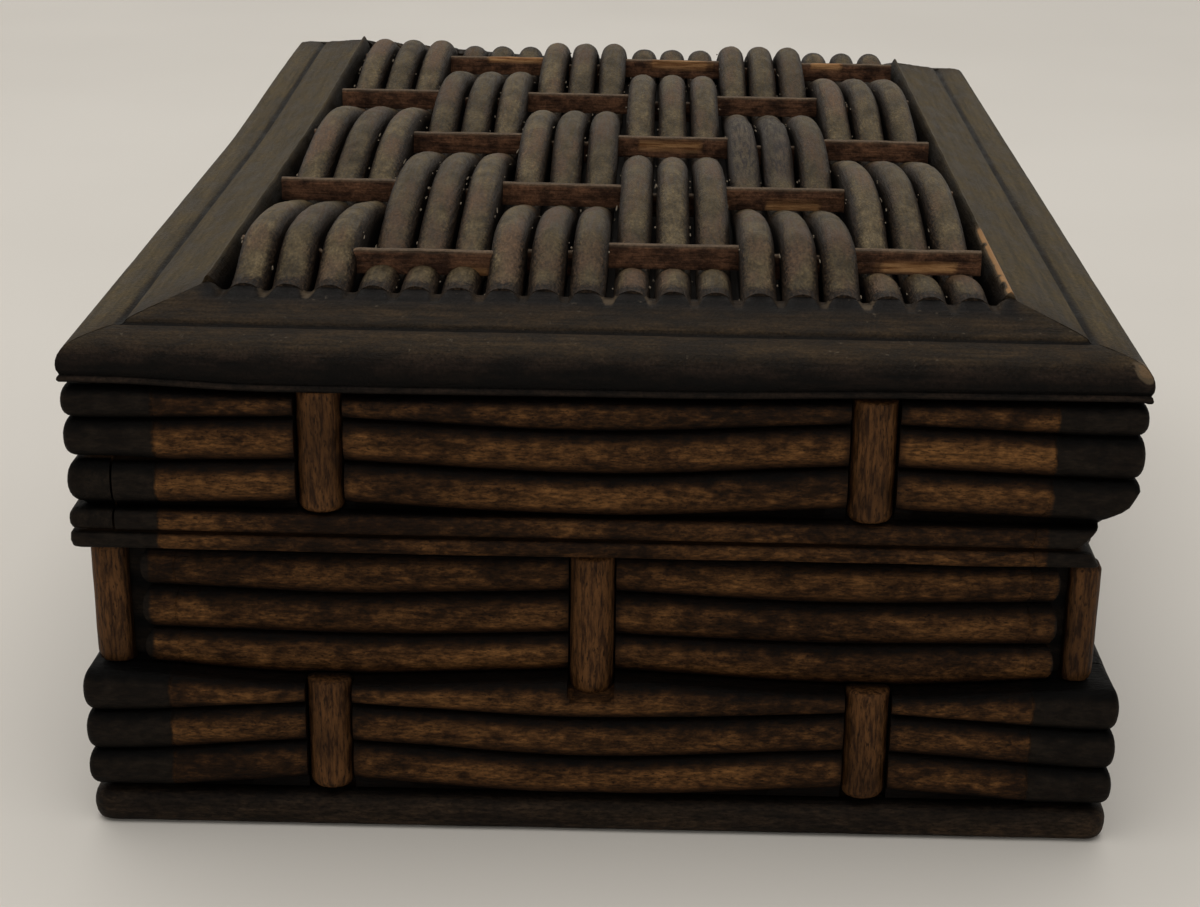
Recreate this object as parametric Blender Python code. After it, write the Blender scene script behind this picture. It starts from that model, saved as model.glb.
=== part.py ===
"""Carved trick box with a basket-weave top: a tray, a lid on two hidden pins, and a sliding key bar.

Sizes are in millimetres and become metres when a mesh is made. X runs along the short side, with the
hinge at +X and the key bar at -X. The key bar slides towards -Y. The box stands on z = 0.
"""

import math

import bmesh
import bpy
from mathutils import Vector

MM = 0.001
GAP = 0.3                       # air left between two pieces that touch

# Driving dimensions of the whole box
WIDTH = 127.0
DEPTH = 178.0
HALF_W = WIDTH / 2
HALF_D = DEPTH / 2
WALL_THICKNESS = 8.5

# Heights
BASE_TOP = 4.7
LOWER_BAND = (BASE_TOP + GAP, 20.6)
MIDDLE_BAND = (LOWER_BAND[1] + GAP, 36.5)
BODY_TOP = 39.5
LID_BOTTOM = BODY_TOP + GAP
STRIP_TOP = 42.4
THIRD_REED = STRIP_TOP + 0.8    # bottom of the reed that belongs to the key bar
KEY_TOP = 48.5
UPPER_REEDS = (KEY_TOP + GAP, 58.0)
BOARD = (UPPER_REEDS[1] + GAP, 61.8)
MOULDING_UNDERSIDE = BOARD[1] + GAP
BASE_INSET = 0.3
BASE_ROUNDING = 1.0

# Carved reeds and the posts that cross them
REED_GROOVE = 1.2
REED_SPACING = 0.1
MIDDLE_RECESS = 3.1
POST_SPACING_X = 65.2
POST_SPACING_Y = 92.0
LOWER_POST_RADIUS = 2.6
MIDDLE_POST_RADIUS = 2.6
LID_POST_RADIUS = 2.8
LID_SEAT_LOW = STRIP_TOP + 0.1
CORNER_LEG = 5.0
CORNER_THICKNESS = 2.5
CORNER_RADIUS = 2.2
CORNER_POST_TOP = 36.5          # just under the hinge pins

# Hinge at +X
PIVOT = (57.6, 38.0)            # x and z of the hinge pins
PIN_RADIUS = 0.8
BORE_RADIUS = 1.1
RAIL_RECESS = 4.2               # the hinge side's rail stands back from the outer face
CHAMFER_START = 56.3            # x where the lid's underside ends and its chamfer starts
CHAMFER_SLOPE = 0.86            # run in x for each millimetre of height
EAR_RADIUS = 2.2
EAR_TOP = 50.1
EAR_WIDTH = 4.0
EAR_INSET = 9.4                 # from the box's end face to the ear
EAR_SLOT_FLOOR = 33.0

# Key bar at -X
KEY_BACK = -58.2
RUNNER_BOARD = (-57.9, -53.4)
RUNNER_LENGTH = 146.5
RUNNER_END = 80.0
RUNNER_NECK = (45.8, 47.0)      # heights of the runner's thin part
RUNNER_HEAD = (44.7, 48.1)      # and of its wide part
RUNNER_HEAD_X = (-56.4, -55.3)
CATCH_PLACES = (-25.0, 15.0)
CATCH_TRAVEL = 13.3
HOOK_STEM = (-58.3, -57.3)
HOOK_TIP = -60.8
HOOK_HEIGHTS = (35.5, 41.6, 43.0)   # foot, underside of the tip, top
HOOK_WIDTH = 2.0

# Woven panel
MOULDING_WIDTH = 14.3
STRAND_COLUMNS = 6
COLUMN_PITCH = 15.5
LATH_PITCH = 30.4
LATH = (66.1, 68.6)
LATH_THICKNESS = 1.2
STRAND_MIDDLE = 68.3
STRAND_SWING = 2.5
STRAND_CREASE = 1.4


def clear_scene():
    for old in list(bpy.data.objects):
        bpy.data.objects.remove(old, do_unlink=True)


def material(name, colour, roughness, metallic=0.0):
    made = bpy.data.materials.new(name)
    made.use_nodes = True
    shader = made.node_tree.nodes["Principled BSDF"]
    shader.inputs["Base Color"].default_value = (*colour, 1.0)
    shader.inputs["Roughness"].default_value = roughness
    shader.inputs["Metallic"].default_value = metallic
    return made


def body_empty(name, x=0.0, z=0.0):
    empty = bpy.data.objects.new(name, None)
    empty.location = (x * MM, 0.0, z * MM)
    bpy.context.collection.objects.link(empty)
    return empty


def add_object(name, verts, faces, finish, parent):
    """Make a closed mesh from points in millimetres, standing in the world under its parent empty."""
    offset = parent.matrix_world.translation
    mesh = bpy.data.meshes.new(name)
    mesh.from_pydata([Vector(v) * MM - offset for v in verts], [], faces)
    edit = bmesh.new()
    edit.from_mesh(mesh)
    bmesh.ops.recalc_face_normals(edit, faces=edit.faces)
    edit.to_mesh(mesh)
    edit.free()
    made = bpy.data.objects.new(name, mesh)
    made.data.materials.append(finish)
    made.parent = parent
    bpy.context.collection.objects.link(made)
    return made


def prism(name, outline, place, start, end, finish, parent):
    """Extrude a flat outline from start to end; place(a, b, along) gives each point's place."""
    count = len(outline)
    verts = [place(a, b, along) for along in (start, end) for a, b in outline]
    faces = [tuple(range(count)), tuple(range(2 * count - 1, count - 1, -1))]
    for i in range(count):
        j = (i + 1) % count
        faces.append((i, j, count + j, count + i))
    return add_object(name, verts, faces, finish, parent)


def loft(name, rings, finish, parent):
    """Join closed rings of equal length into one skin with a flat cap at each end."""
    count = len(rings[0])
    verts = [point for ring in rings for point in ring]
    last = (len(rings) - 1) * count
    faces = [tuple(range(count)), tuple(range(last + count - 1, last - 1, -1))]
    for row in range(len(rings) - 1):
        for i in range(count):
            j = (i + 1) % count
            faces.append((row * count + i, row * count + j, (row + 1) * count + j, (row + 1) * count + i))
    return add_object(name, verts, faces, finish, parent)


def box_points(low, high):
    return [(x, y, z) for x in (low[0], high[0]) for y in (low[1], high[1]) for z in (low[2], high[2])]


BOX_FACES = [(0, 1, 3, 2), (4, 6, 7, 5), (0, 4, 5, 1), (2, 3, 7, 6), (0, 2, 6, 4), (1, 5, 7, 3)]


def cut(target, name, boxes=(), bores=()):
    """Cut boxes (two corners each) and bores along Y (centre x, z, radius, start, end) from the target."""
    verts = []
    faces = []
    for low, high in boxes:
        first = len(verts)
        verts += box_points(low, high)
        faces += [tuple(first + i for i in face) for face in BOX_FACES]
    for x, z, radius, start, end in bores:
        sides = 12
        first = len(verts)
        for y in (start, end):
            verts += [(x + radius * math.cos(a), y, z + radius * math.sin(a))
                      for a in (math.tau * i / sides for i in range(sides))]
        faces.append(tuple(first + i for i in range(sides)))
        faces.append(tuple(first + 2 * sides - 1 - i for i in range(sides)))
        for i in range(sides):
            j = (i + 1) % sides
            faces.append((first + i, first + j, first + sides + j, first + sides + i))
    cutter = add_object(name + "_cutter", verts, faces, target.data.materials[0], target.parent)
    cutter.hide_render = True
    cutter.display_type = "WIRE"
    modifier = target.modifiers.new("cut", "BOOLEAN")
    modifier.operation = "DIFFERENCE"
    modifier.solver = "EXACT"
    modifier.use_self = True    # the cutter's boxes may run into each other
    modifier.object = cutter


# Each side of the box is drawn by the distance along it, the depth in from its outer face, and the height.
def front(along, depth, z):
    return (along, -HALF_D + depth, z)


def back(along, depth, z):
    return (along, HALF_D - depth, z)


def left(along, depth, z):
    return (-HALF_W + depth, along, z)


def right(along, depth, z):
    return (HALF_W - depth, along, z)


SIDES = {"front": front, "back": back, "left": left, "right": right}


def reed(bottom, top, crest):
    """Half-round reed in section: heights and depths from its lower groove to its upper groove."""
    segments = 4
    reach = math.radians(72)
    half = (top - bottom) / 2
    points = []
    for i in range(segments + 1):
        angle = reach * (2 * i / segments - 1)
        z = bottom + half + half * math.sin(angle) / math.sin(reach)
        depth = crest + REED_GROOVE * (1 - math.cos(angle)) / (1 - math.cos(reach))
        points.append((z, depth))
    return points


def reeds(bottom, top, crest, count):
    step = (top - bottom) / count
    points = []
    for i in range(count):
        points += reed(bottom + i * step + REED_SPACING, bottom + (i + 1) * step - REED_SPACING, crest)
    return points


def body_outline(side):
    """Outer section of a tray wall: two bands of reeds and a rail, which hides the hinge on the right."""
    outline = reeds(*LOWER_BAND, 0.0, 3) + reeds(*MIDDLE_BAND, MIDDLE_RECESS, 3)
    if side == "right":
        rail = [(2.2, RAIL_RECESS), (1.3, RAIL_RECESS), (0.5, RAIL_RECESS + 0.5), (0.0, RAIL_RECESS + 1.5)]
    else:
        rail = [(2.3, MIDDLE_RECESS), (1.8, 1.6), (1.2, 0.6), (0.5, 0.1), (0.0, 0.3)]
    return outline + [(BODY_TOP - drop, depth) for drop, depth in rail]


def chamfer_depth(z):
    return HALF_W - CHAMFER_START - (z - LID_BOTTOM) * CHAMFER_SLOPE


def lid_outline(side):
    """Outer section of a lid wall: a thin strip and three reeds, cut back by the chamfer on the right."""
    strip = [(0.0, 0.8), (0.5, 0.2), (1.4, 0.1), (2.1, 0.3), (STRIP_TOP - LID_BOTTOM, 0.9), (3.0, 2.0)]
    outline = [(LID_BOTTOM + rise, depth) for rise, depth in strip]
    outline += reed(THIRD_REED, KEY_TOP, 0.0)
    outline += reeds(*UPPER_REEDS, 0.0, 2)
    if side == "right":
        return [(z, max(depth, chamfer_depth(z))) for z, depth in outline]
    return outline


def wall(name, side, outline, left_ends, right_ends, finish, parent):
    """Wall with a carved outer face and a flat inner one; its ends follow a carved outline as well."""
    place = SIDES[side]
    inner = WALL_THICKNESS
    count = len(outline)
    verts = []
    for ends in (left_ends, right_ends):
        verts += [place(along, depth, z) for along, (z, depth) in zip(ends, outline)]
        verts += [place(along, inner, z) for along, (z, depth) in zip(ends, outline)]
    outer_left, inner_left, outer_right, inner_right = (i * count for i in range(4))
    faces = []
    for i in range(count - 1):
        j = i + 1
        faces.append((outer_left + i, outer_right + i, outer_right + j, outer_left + j))
        faces.append((inner_left + i, inner_left + j, inner_right + j, inner_right + i))
        faces.append((outer_left + i, outer_left + j, inner_left + j, inner_left + i))
        faces.append((outer_right + i, inner_right + i, inner_right + j, outer_right + j))
    last = count - 1
    faces.append((outer_left, inner_left, inner_right, outer_right))
    faces.append((outer_left + last, outer_right + last, inner_right + last, inner_left + last))
    return add_object(name, verts, faces, finish, parent)


def side_span(outline):
    """Ends of a side wall, which stands between the front and back walls."""
    reach = HALF_D - WALL_THICKNESS - GAP
    return [-reach] * len(outline), [reach] * len(outline)


def notch_box(side, along, half_width, depth, low, high):
    """Box that takes a post's seat out of a wall's outer face."""
    place = SIDES[side]
    a = place(along - half_width, -1.0, low)
    b = place(along + half_width, depth, high)
    return tuple(min(p) for p in zip(a, b)), tuple(max(p) for p in zip(a, b))


def post_places(side):
    spacing = POST_SPACING_X if side in ("front", "back") else POST_SPACING_Y
    return (-spacing / 2, spacing / 2)


def half_round_post(name, side, along, crest, radius, low, high, finish, parent):
    segments = 6
    place = SIDES[side]
    outline = [(along - radius * math.cos(a), crest + radius - radius * math.sin(a))
               for a in (math.pi * i / segments for i in range(segments + 1))]
    return prism(name, outline, place, low, high, finish, parent)


def seat(side, along, crest, radius, low, high):
    return notch_box(side, along, radius + GAP, crest + radius + GAP, low, high)


def base_board(finish, parent):
    """Base board with rounded long edges, drawn as a section along X and run along Y."""
    edge = HALF_W - BASE_INSET
    flat = edge - BASE_ROUNDING
    low, high = BASE_ROUNDING, BASE_TOP - BASE_ROUNDING
    outline = [(-flat, 0.0), (flat, 0.0), (edge, low), (edge, high),
               (flat, BASE_TOP), (-flat, BASE_TOP), (-edge, high), (-edge, low)]
    reach = HALF_D - BASE_INSET
    return prism("base_board", outline, lambda x, z, y: (x, y, z), -reach, reach, finish, parent)


def body_walls(finish, parent):
    side_left = body_outline("left")
    side_right = body_outline("right")
    for side in ("front", "back"):
        outline = body_outline(side)
        ends_left = [-HALF_W + depth_at(side_left, z) for z, depth in outline]
        ends_right = [HALF_W - depth_at(side_right, z) for z, depth in outline]
        made = wall("body_%s_wall" % side, side, outline, ends_left, ends_right, finish, parent)
        y_of = 1 if side == "back" else -1
        boxes = body_seats(side) + corner_seats(y_of)
        depths = sorted((y_of * (HALF_D - WALL_THICKNESS - 1.0), y_of * (HALF_D - 4.7)))
        cut(made, made.name, boxes, [(*PIVOT, BORE_RADIUS, *depths)])
    for side, outline in (("left", side_left), ("right", side_right)):
        made = wall("body_%s_wall" % side, side, outline, *side_span(outline), finish, parent)
        boxes = body_seats(side)
        bores = []
        if side == "left":
            boxes += [catch_hole(y) for y in CATCH_PLACES]
        else:
            for y_of in (-1, 1):
                boxes.append(ear_slot(y_of, -1.0, EAR_SLOT_FLOOR, BODY_TOP + 1.0))
                near = y_of * (HALF_D - EAR_INSET - EAR_WIDTH)
                bores.append((*PIVOT, BORE_RADIUS, *sorted((near, near - y_of * 4.5))))
        cut(made, made.name, boxes, bores)


def depth_at(outline, z):
    """Depth of a carved outline at a height, between its nearest two points."""
    for (z_low, depth_low), (z_high, depth_high) in zip(outline, outline[1:]):
        if z_low <= z <= z_high:
            return depth_low + (depth_high - depth_low) * (z - z_low) / (z_high - z_low)
    return outline[-1][1]


def body_seats(side):
    low, high = LOWER_BAND
    seats = [seat(side, along, 0.0, LOWER_POST_RADIUS, low - 1.0, high + 0.15) for along in post_places(side)]
    low, high = MIDDLE_BAND
    seats.append(seat(side, 0.0, MIDDLE_RECESS, MIDDLE_POST_RADIUS, low - 0.1, high + 0.05))
    return seats


def corner_seats(y_of):
    """Seats at the two ends of a front or back wall for the angle-shaped corner posts."""
    low, high = MIDDLE_BAND[0] - 0.1, CORNER_POST_TOP + GAP
    boxes = []
    for x_of in (-1, 1):
        outer_x = x_of * (HALF_W + 1.0)
        face_x = HALF_W - MIDDLE_RECESS
        face_y = HALF_D - MIDDLE_RECESS
        leg_x = x_of * (face_x - CORNER_LEG - GAP)
        end_x = x_of * (face_x - CORNER_THICKNESS - GAP)
        outer_y = y_of * (HALF_D + 1.0)
        back_y = y_of * (face_y - CORNER_THICKNESS - GAP)
        inner_y = y_of * (HALF_D - WALL_THICKNESS - 1.0)
        boxes.append(ordered((leg_x, outer_y, low), (outer_x, back_y, high)))
        boxes.append(ordered((end_x, outer_y, low), (outer_x, inner_y, high)))
    return boxes


def ordered(a, b):
    return tuple(min(p) for p in zip(a, b)), tuple(max(p) for p in zip(a, b))


def ear_slot(y_of, depth, low, high):
    start = y_of * (HALF_D - EAR_INSET + 2.0)
    end = y_of * (HALF_D - EAR_INSET - EAR_WIDTH - 0.4)
    return ordered((HALF_W - WALL_THICKNESS - 1.0, start, low), (HALF_W - depth, end, high))


def catch_hole(y):
    reach = HOOK_WIDTH / 2 + GAP
    return ((HOOK_STEM[0] - GAP, y - reach, HOOK_HEIGHTS[0] - GAP),
            (HOOK_STEM[1] + GAP, y + reach, BODY_TOP + 1.0))


def body_posts(finish, parent):
    for side in SIDES:
        for number, along in enumerate(post_places(side), 1):
            half_round_post("lower_post_%s_%d" % (side, number), side, along, 0.0, LOWER_POST_RADIUS,
                            LOWER_BAND[0] + 0.2, LOWER_BAND[1] - 0.2, finish, parent)
        half_round_post("middle_post_%s" % side, side, 0.0, MIDDLE_RECESS, MIDDLE_POST_RADIUS,
                        MIDDLE_BAND[0] + 0.2, MIDDLE_BAND[1] - 0.25, finish, parent)


def corner_posts(finish, parent):
    """Dowel with a quarter cut out, so that it stands over the corner of the walls."""
    radius = CORNER_RADIUS
    steps = 4
    face_x = HALF_W - MIDDLE_RECESS
    face_y = HALF_D - MIDDLE_RECESS
    arc = [(face_x - radius + radius * math.sin(a), face_y - radius + radius * math.cos(a))
           for a in (math.pi / 2 * i / steps for i in range(steps + 1))]
    outline = [(face_x - CORNER_LEG, face_y)] + arc + [
        (face_x, face_y - CORNER_LEG), (face_x - CORNER_THICKNESS, face_y - CORNER_LEG),
        (face_x - CORNER_THICKNESS, face_y - CORNER_THICKNESS),
        (face_x - CORNER_LEG, face_y - CORNER_THICKNESS)]
    corners = {"front_left": (-1, -1), "front_right": (1, -1), "back_left": (-1, 1), "back_right": (1, 1)}
    for corner, (x_of, y_of) in corners.items():
        mirrored = [(x * x_of, y * y_of) for x, y in outline]
        prism("corner_post_%s" % corner, mirrored, lambda x, y, z: (x, y, z),
              MIDDLE_BAND[0] + 0.2, CORNER_POST_TOP, finish, parent)


def hinge_pins(finish, parent):
    sides = 10
    outline = [(PIVOT[0] + PIN_RADIUS * math.cos(a), PIVOT[1] + PIN_RADIUS * math.sin(a))
               for a in (math.tau * i / sides for i in range(sides))]
    for name, y_of in (("front", -1), ("back", 1)):
        outer = y_of * (HALF_D - 5.0)
        inner = y_of * (HALF_D - EAR_INSET - EAR_WIDTH - 4.2)
        prism("hinge_pin_%s" % name, outline, lambda x, z, y: (x, y, z), outer, inner, finish, parent)


def catch_hooks(finish, parent):
    """Bent hooks that stand in the tray's left wall and reach under the key bar's inner lip."""
    outer, inner = HOOK_STEM
    foot, tip, top = HOOK_HEIGHTS
    half = HOOK_WIDTH / 2
    outline = [(outer, foot), (inner, foot), (inner, top), (HOOK_TIP, top), (HOOK_TIP, tip), (outer, tip)]
    for name, y in zip(("front", "back"), CATCH_PLACES):
        prism("catch_hook_%s" % name, outline, lambda x, z, along: (x, along, z), y - half, y + half,
              finish, parent)


def lid_walls(finish, parent):
    side_left = lid_outline("left")
    side_right = lid_outline("right")
    step = (KEY_TOP + UPPER_REEDS[0]) / 2
    for side in ("front", "back"):
        lower = [(z, depth) for z, depth in lid_outline(side) if z < step]
        upper = [(z, depth) for z, depth in lid_outline(side) if z > step]
        outline = lower + [(step, 1.5), (step + 0.01, 1.5)] + upper
        ends_left = [RUNNER_BOARD[0] if z <= step else -HALF_W + depth_at(side_left, z) for z, depth in outline]
        ends_right = [HALF_W - depth_at(side_right, z) for z, depth in outline]
        made = wall("lid_%s_wall" % side, side, outline, ends_left, ends_right, finish, parent)
        cut(made, made.name, lid_seats(side, LID_SEAT_LOW, BOARD[0]))
    made = wall("lid_right_wall", "right", side_right, *side_span(side_right), finish, parent)
    slots = [ear_slot(y_of, HALF_W - 58.9, LID_BOTTOM - 1.0, EAR_TOP + GAP) for y_of in (-1, 1)]
    cut(made, made.name, lid_seats("right", LID_SEAT_LOW, BOARD[0]) + slots)


def lid_seats(side, low, high):
    return [seat(side, along, 0.0, LID_POST_RADIUS, low, high) for along in post_places(side)]


def lid_left_wall(finish, parent):
    """Upper two reeds of the key side, with the board behind the key bar and its T-shaped groove."""
    outer, inner = RUNNER_BOARD
    reeds_outline = [(-HALF_W + depth, z) for z, depth in reeds(*UPPER_REEDS, 0.0, 2)]
    neck = (RUNNER_NECK[0] - GAP, RUNNER_NECK[1] + GAP)
    head = (RUNNER_HEAD[0] - GAP, RUNNER_HEAD[1] + GAP)
    lip, floor = RUNNER_HEAD_X[0] - GAP, RUNNER_HEAD_X[1] + GAP
    groove = [(outer, UPPER_REEDS[0]), (outer, neck[1]), (lip, neck[1]), (lip, head[1]), (floor, head[1]),
              (floor, head[0]), (lip, head[0]), (lip, neck[0]), (outer, neck[0]), (outer, LID_BOTTOM)]
    outline = reeds_outline + [(inner, UPPER_REEDS[1]), (inner, LID_BOTTOM)] + groove[::-1]
    reach = HALF_D - WALL_THICKNESS - GAP
    made = prism("lid_left_wall", outline, lambda x, z, y: (x, y, z), -reach, reach, finish, parent)
    half = HOOK_WIDTH / 2 + GAP
    relief = [((outer - 0.6, y - half, LID_BOTTOM - 1.0), (outer + 0.8, y + half, HOOK_HEIGHTS[2] + 0.4))
              for y in CATCH_PLACES]
    cut(made, made.name, lid_seats("left", UPPER_REEDS[0] - 0.1, BOARD[0]) + relief)


def lid_posts(finish, parent):
    for side in SIDES:
        low = UPPER_REEDS[0] + 0.2 if side == "left" else LID_SEAT_LOW + GAP
        for number, along in enumerate(post_places(side), 1):
            half_round_post("lid_post_%s_%d" % (side, number), side, along, 0.0, LID_POST_RADIUS,
                            low, UPPER_REEDS[1] - 0.1, finish, parent)


def hinge_ears(finish, parent):
    """Flat ears on the lid that turn on the hinge pins."""
    x, z = PIVOT
    right_edge = 58.6
    meet = math.acos((right_edge - x) / EAR_RADIUS)
    steps = 12
    start = -math.pi
    arc = [(x + EAR_RADIUS * math.cos(a), z + EAR_RADIUS * math.sin(a))
           for a in (start + (meet - start) * i / steps for i in range(steps + 1))]
    outline = [(x - EAR_RADIUS, EAR_TOP)] + arc + [(right_edge, EAR_TOP)]
    for name, y_of in (("front", -1), ("back", 1)):
        outer = y_of * (HALF_D - EAR_INSET)
        inner = y_of * (HALF_D - EAR_INSET - EAR_WIDTH)
        made = prism("hinge_ear_%s" % name, outline, lambda a, b, y: (a, y, b), outer, inner, finish, parent)
        cut(made, made.name, (), [(x, z, BORE_RADIUS, *sorted((outer + y_of, inner - y_of)))])


def lid_board(finish, parent):
    reach_x = HALF_W - 6.6
    reach_y = HALF_D - 6.6
    outline = [(-reach_x, BOARD[0]), (reach_x, BOARD[0]), (reach_x, BOARD[1]), (-reach_x, BOARD[1])]
    return prism("lid_board", outline, lambda x, z, y: (x, y, z), -reach_y, reach_y, finish, parent)


def mouldings(finish, parent):
    """Four mitred mouldings: a rounded nose, a fine step, and a cove that rises to the weave."""
    rebate = 6.3
    section = [(0.4, BOARD[0]), (0.0, 59.3), (0.0, 61.9), (0.5, 63.0), (1.6, 63.6), (6.3, 64.0),
               (6.7, 63.7), (9.5, 64.2), (12.0, 65.2), (13.6, 66.3), (MOULDING_WIDTH, 66.4),
               (MOULDING_WIDTH, MOULDING_UNDERSIDE), (rebate, MOULDING_UNDERSIDE), (rebate, BOARD[0])]
    for side, place in SIDES.items():
        reach = (HALF_W if side in ("front", "back") else HALF_D) - GAP / 2
        rings = []
        for hand in (-1, 1):
            rings.append([place(hand * (reach - depth), depth, z) for depth, z in section])
        loft("moulding_%s" % side, rings, finish, parent)


def crest_height(y, odd):
    swing = math.cos(math.pi * y / LATH_PITCH)
    return STRAND_MIDDLE + STRAND_SWING * (swing if odd else -swing)


def strand_bundle(number, finish, parent):
    """Three half-round strands side by side, arched over the laths that they hide."""
    odd = number % 2 == 1
    width = COLUMN_PITCH - GAP
    middle = (number - (STRAND_COLUMNS + 1) / 2) * COLUMN_PITCH
    reach = HALF_D - MOULDING_WIDTH - GAP
    bottom = BOARD[1] + GAP
    lobes = 3
    steps = 3
    tunnel = LATH_THICKNESS / 2 + GAP
    edge = 0.02
    stations = [(y, bottom) for y in spread(-reach, reach, 20)]
    for row in range(-2, 3):
        if (row % 2 == 0) == odd:
            y = row * LATH_PITCH
            stations = [s for s in stations if abs(s[0] - y) > tunnel + 1.0]
            roof = LATH[1] + GAP
            stations += [(y - tunnel - edge, bottom), (y - tunnel, roof), (y + tunnel, roof),
                         (y + tunnel + edge, bottom)]
    rings = []
    for y, floor in sorted(stations):
        top = crest_height(y, odd)
        ring = []
        for i in range(lobes * steps + 1):
            across = i / (lobes * steps)
            lobe = abs(math.sin(math.pi * lobes * across))
            ring.append((middle - width / 2 + width * across, y, top - STRAND_CREASE * (1 - lobe)))
        ring += [(middle + width / 2, y, floor), (middle - width / 2, y, floor)]
        rings.append(ring)
    loft("strand_bundle_%d" % number, rings, finish, parent)


def spread(start, end, steps):
    return [start + (end - start) * i / steps for i in range(steps + 1)]


def cross_laths(finish, parent):
    reach = STRAND_COLUMNS * COLUMN_PITCH / 2
    half = LATH_THICKNESS / 2
    for row in range(-2, 3):
        y = row * LATH_PITCH
        outline = [(y - half, LATH[0]), (y + half, LATH[0]), (y + half, LATH[1]), (y - half, LATH[1])]
        prism("cross_lath_%d" % (row + 3), outline, lambda a, b, x: (x, a, b), -reach, reach, finish, parent)


def key_bar(finish, parent):
    """Sliding bar made of the lowest two courses of the lid's left side."""
    carved = [point for point in lid_outline("left") if point[0] <= KEY_TOP]
    outline = [(-HALF_W + depth, z) for z, depth in carved] + [(KEY_BACK, KEY_TOP), (KEY_BACK, LID_BOTTOM)]
    reach = HALF_D - GAP
    made = prism("key_bar", outline, lambda x, z, y: (x, y, z), -reach, reach, finish, parent)
    back_of = KEY_BACK + 0.2
    boxes = lid_seats("left", LID_SEAT_LOW, KEY_TOP + 1.0)
    stem = HOOK_STEM[0] - GAP
    tip = HOOK_TIP - GAP
    lip, roof = HOOK_HEIGHTS[1] - GAP, HOOK_HEIGHTS[2] + GAP
    for y in CATCH_PLACES:
        start = y - HOOK_WIDTH / 2 - 0.4
        open_at = y + CATCH_TRAVEL - 1.9
        end = y + CATCH_TRAVEL + 1.9
        boxes.append(((stem, start, LID_BOTTOM - 1.0), (back_of, open_at, lip)))
        boxes.append(((tip, start, lip), (back_of, open_at, roof)))
        boxes.append(((tip, open_at, LID_BOTTOM - 1.0), (back_of, end, roof)))
    cut(made, made.name, boxes)


def key_runner(finish, parent):
    """T-shaped runner on the key bar's back that keeps the bar on the lid."""
    outer = RUNNER_BOARD[0]
    lip, end = RUNNER_HEAD_X
    neck, head = RUNNER_NECK, RUNNER_HEAD
    outline = [(outer, neck[0]), (lip, neck[0]), (lip, head[0]), (end, head[0]),
               (end, head[1]), (lip, head[1]), (lip, neck[1]), (outer, neck[1])]
    prism("key_runner", outline, lambda x, z, y: (x, y, z), RUNNER_END - RUNNER_LENGTH, RUNNER_END,
          finish, parent)


def key_posts(finish, parent):
    for name, along in zip(("front", "back"), post_places("left")):
        half_round_post("key_post_%s" % name, "left", along, 0.0, LID_POST_RADIUS, LID_SEAT_LOW + GAP,
                        KEY_TOP - 0.1, finish, parent)


def build():
    clear_scene()
    dark_wood = material("dark_stained_wood", (0.045, 0.028, 0.018), 0.55)
    post_wood = material("brown_dowel_wood", (0.14, 0.075, 0.035), 0.6)
    weave_wood = material("dusty_strand_wood", (0.13, 0.10, 0.075), 0.7)
    lath_wood = material("red_brown_lath_wood", (0.15, 0.07, 0.04), 0.6)
    steel = material("steel_wire", (0.35, 0.34, 0.33), 0.4, 1.0)

    tray = body_empty("tray_frame")
    lid = body_empty("lid_frame", *PIVOT)
    key = body_empty("key_frame")
    key.parent = lid
    key.location = -lid.location
    bpy.context.view_layer.update()

    base_board(dark_wood, tray)
    body_walls(dark_wood, tray)
    body_posts(post_wood, tray)
    corner_posts(post_wood, tray)
    hinge_pins(steel, tray)
    catch_hooks(steel, tray)

    lid_board(dark_wood, lid)
    lid_walls(dark_wood, lid)
    lid_left_wall(dark_wood, lid)
    lid_posts(post_wood, lid)
    hinge_ears(steel, lid)
    mouldings(dark_wood, lid)
    for number in range(1, STRAND_COLUMNS + 1):
        strand_bundle(number, weave_wood, lid)
    cross_laths(lath_wood, lid)

    key_bar(dark_wood, key)
    key_runner(dark_wood, key)
    key_posts(post_wood, key)


build()
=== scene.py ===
"""Looks of the carved trick box: woodwork, worn stain, dusty woven top, pale floor and soft light.

Meshes are worked out in millimetres in the frame's own axes (X across, Y away from the viewer, Z up) and
become metres when they are made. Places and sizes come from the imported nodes' boxes.
"""

import math
import random

import bmesh
import bpy
from mathutils import Matrix, Vector, noise


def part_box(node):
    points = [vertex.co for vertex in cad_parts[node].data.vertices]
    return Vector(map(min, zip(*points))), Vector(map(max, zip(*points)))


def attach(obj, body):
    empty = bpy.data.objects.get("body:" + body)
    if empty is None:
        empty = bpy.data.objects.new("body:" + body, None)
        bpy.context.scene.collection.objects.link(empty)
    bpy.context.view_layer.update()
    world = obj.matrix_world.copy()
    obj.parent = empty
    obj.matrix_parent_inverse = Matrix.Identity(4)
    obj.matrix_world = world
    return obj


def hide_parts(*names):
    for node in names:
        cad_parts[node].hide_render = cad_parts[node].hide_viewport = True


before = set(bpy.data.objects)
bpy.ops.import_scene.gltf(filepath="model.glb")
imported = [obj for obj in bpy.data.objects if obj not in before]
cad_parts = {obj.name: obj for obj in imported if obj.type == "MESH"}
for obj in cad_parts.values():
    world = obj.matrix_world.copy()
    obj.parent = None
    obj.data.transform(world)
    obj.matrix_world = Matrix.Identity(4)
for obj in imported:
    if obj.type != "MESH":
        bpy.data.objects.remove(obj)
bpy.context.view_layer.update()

MM = 1000.0
X, Y, Z = 0, 1, 2
LOW, HIGH = 0, 1


def edge(node, end, axis):
    """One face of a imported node's box, in millimetres."""
    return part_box(node)[end][axis] * MM


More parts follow.
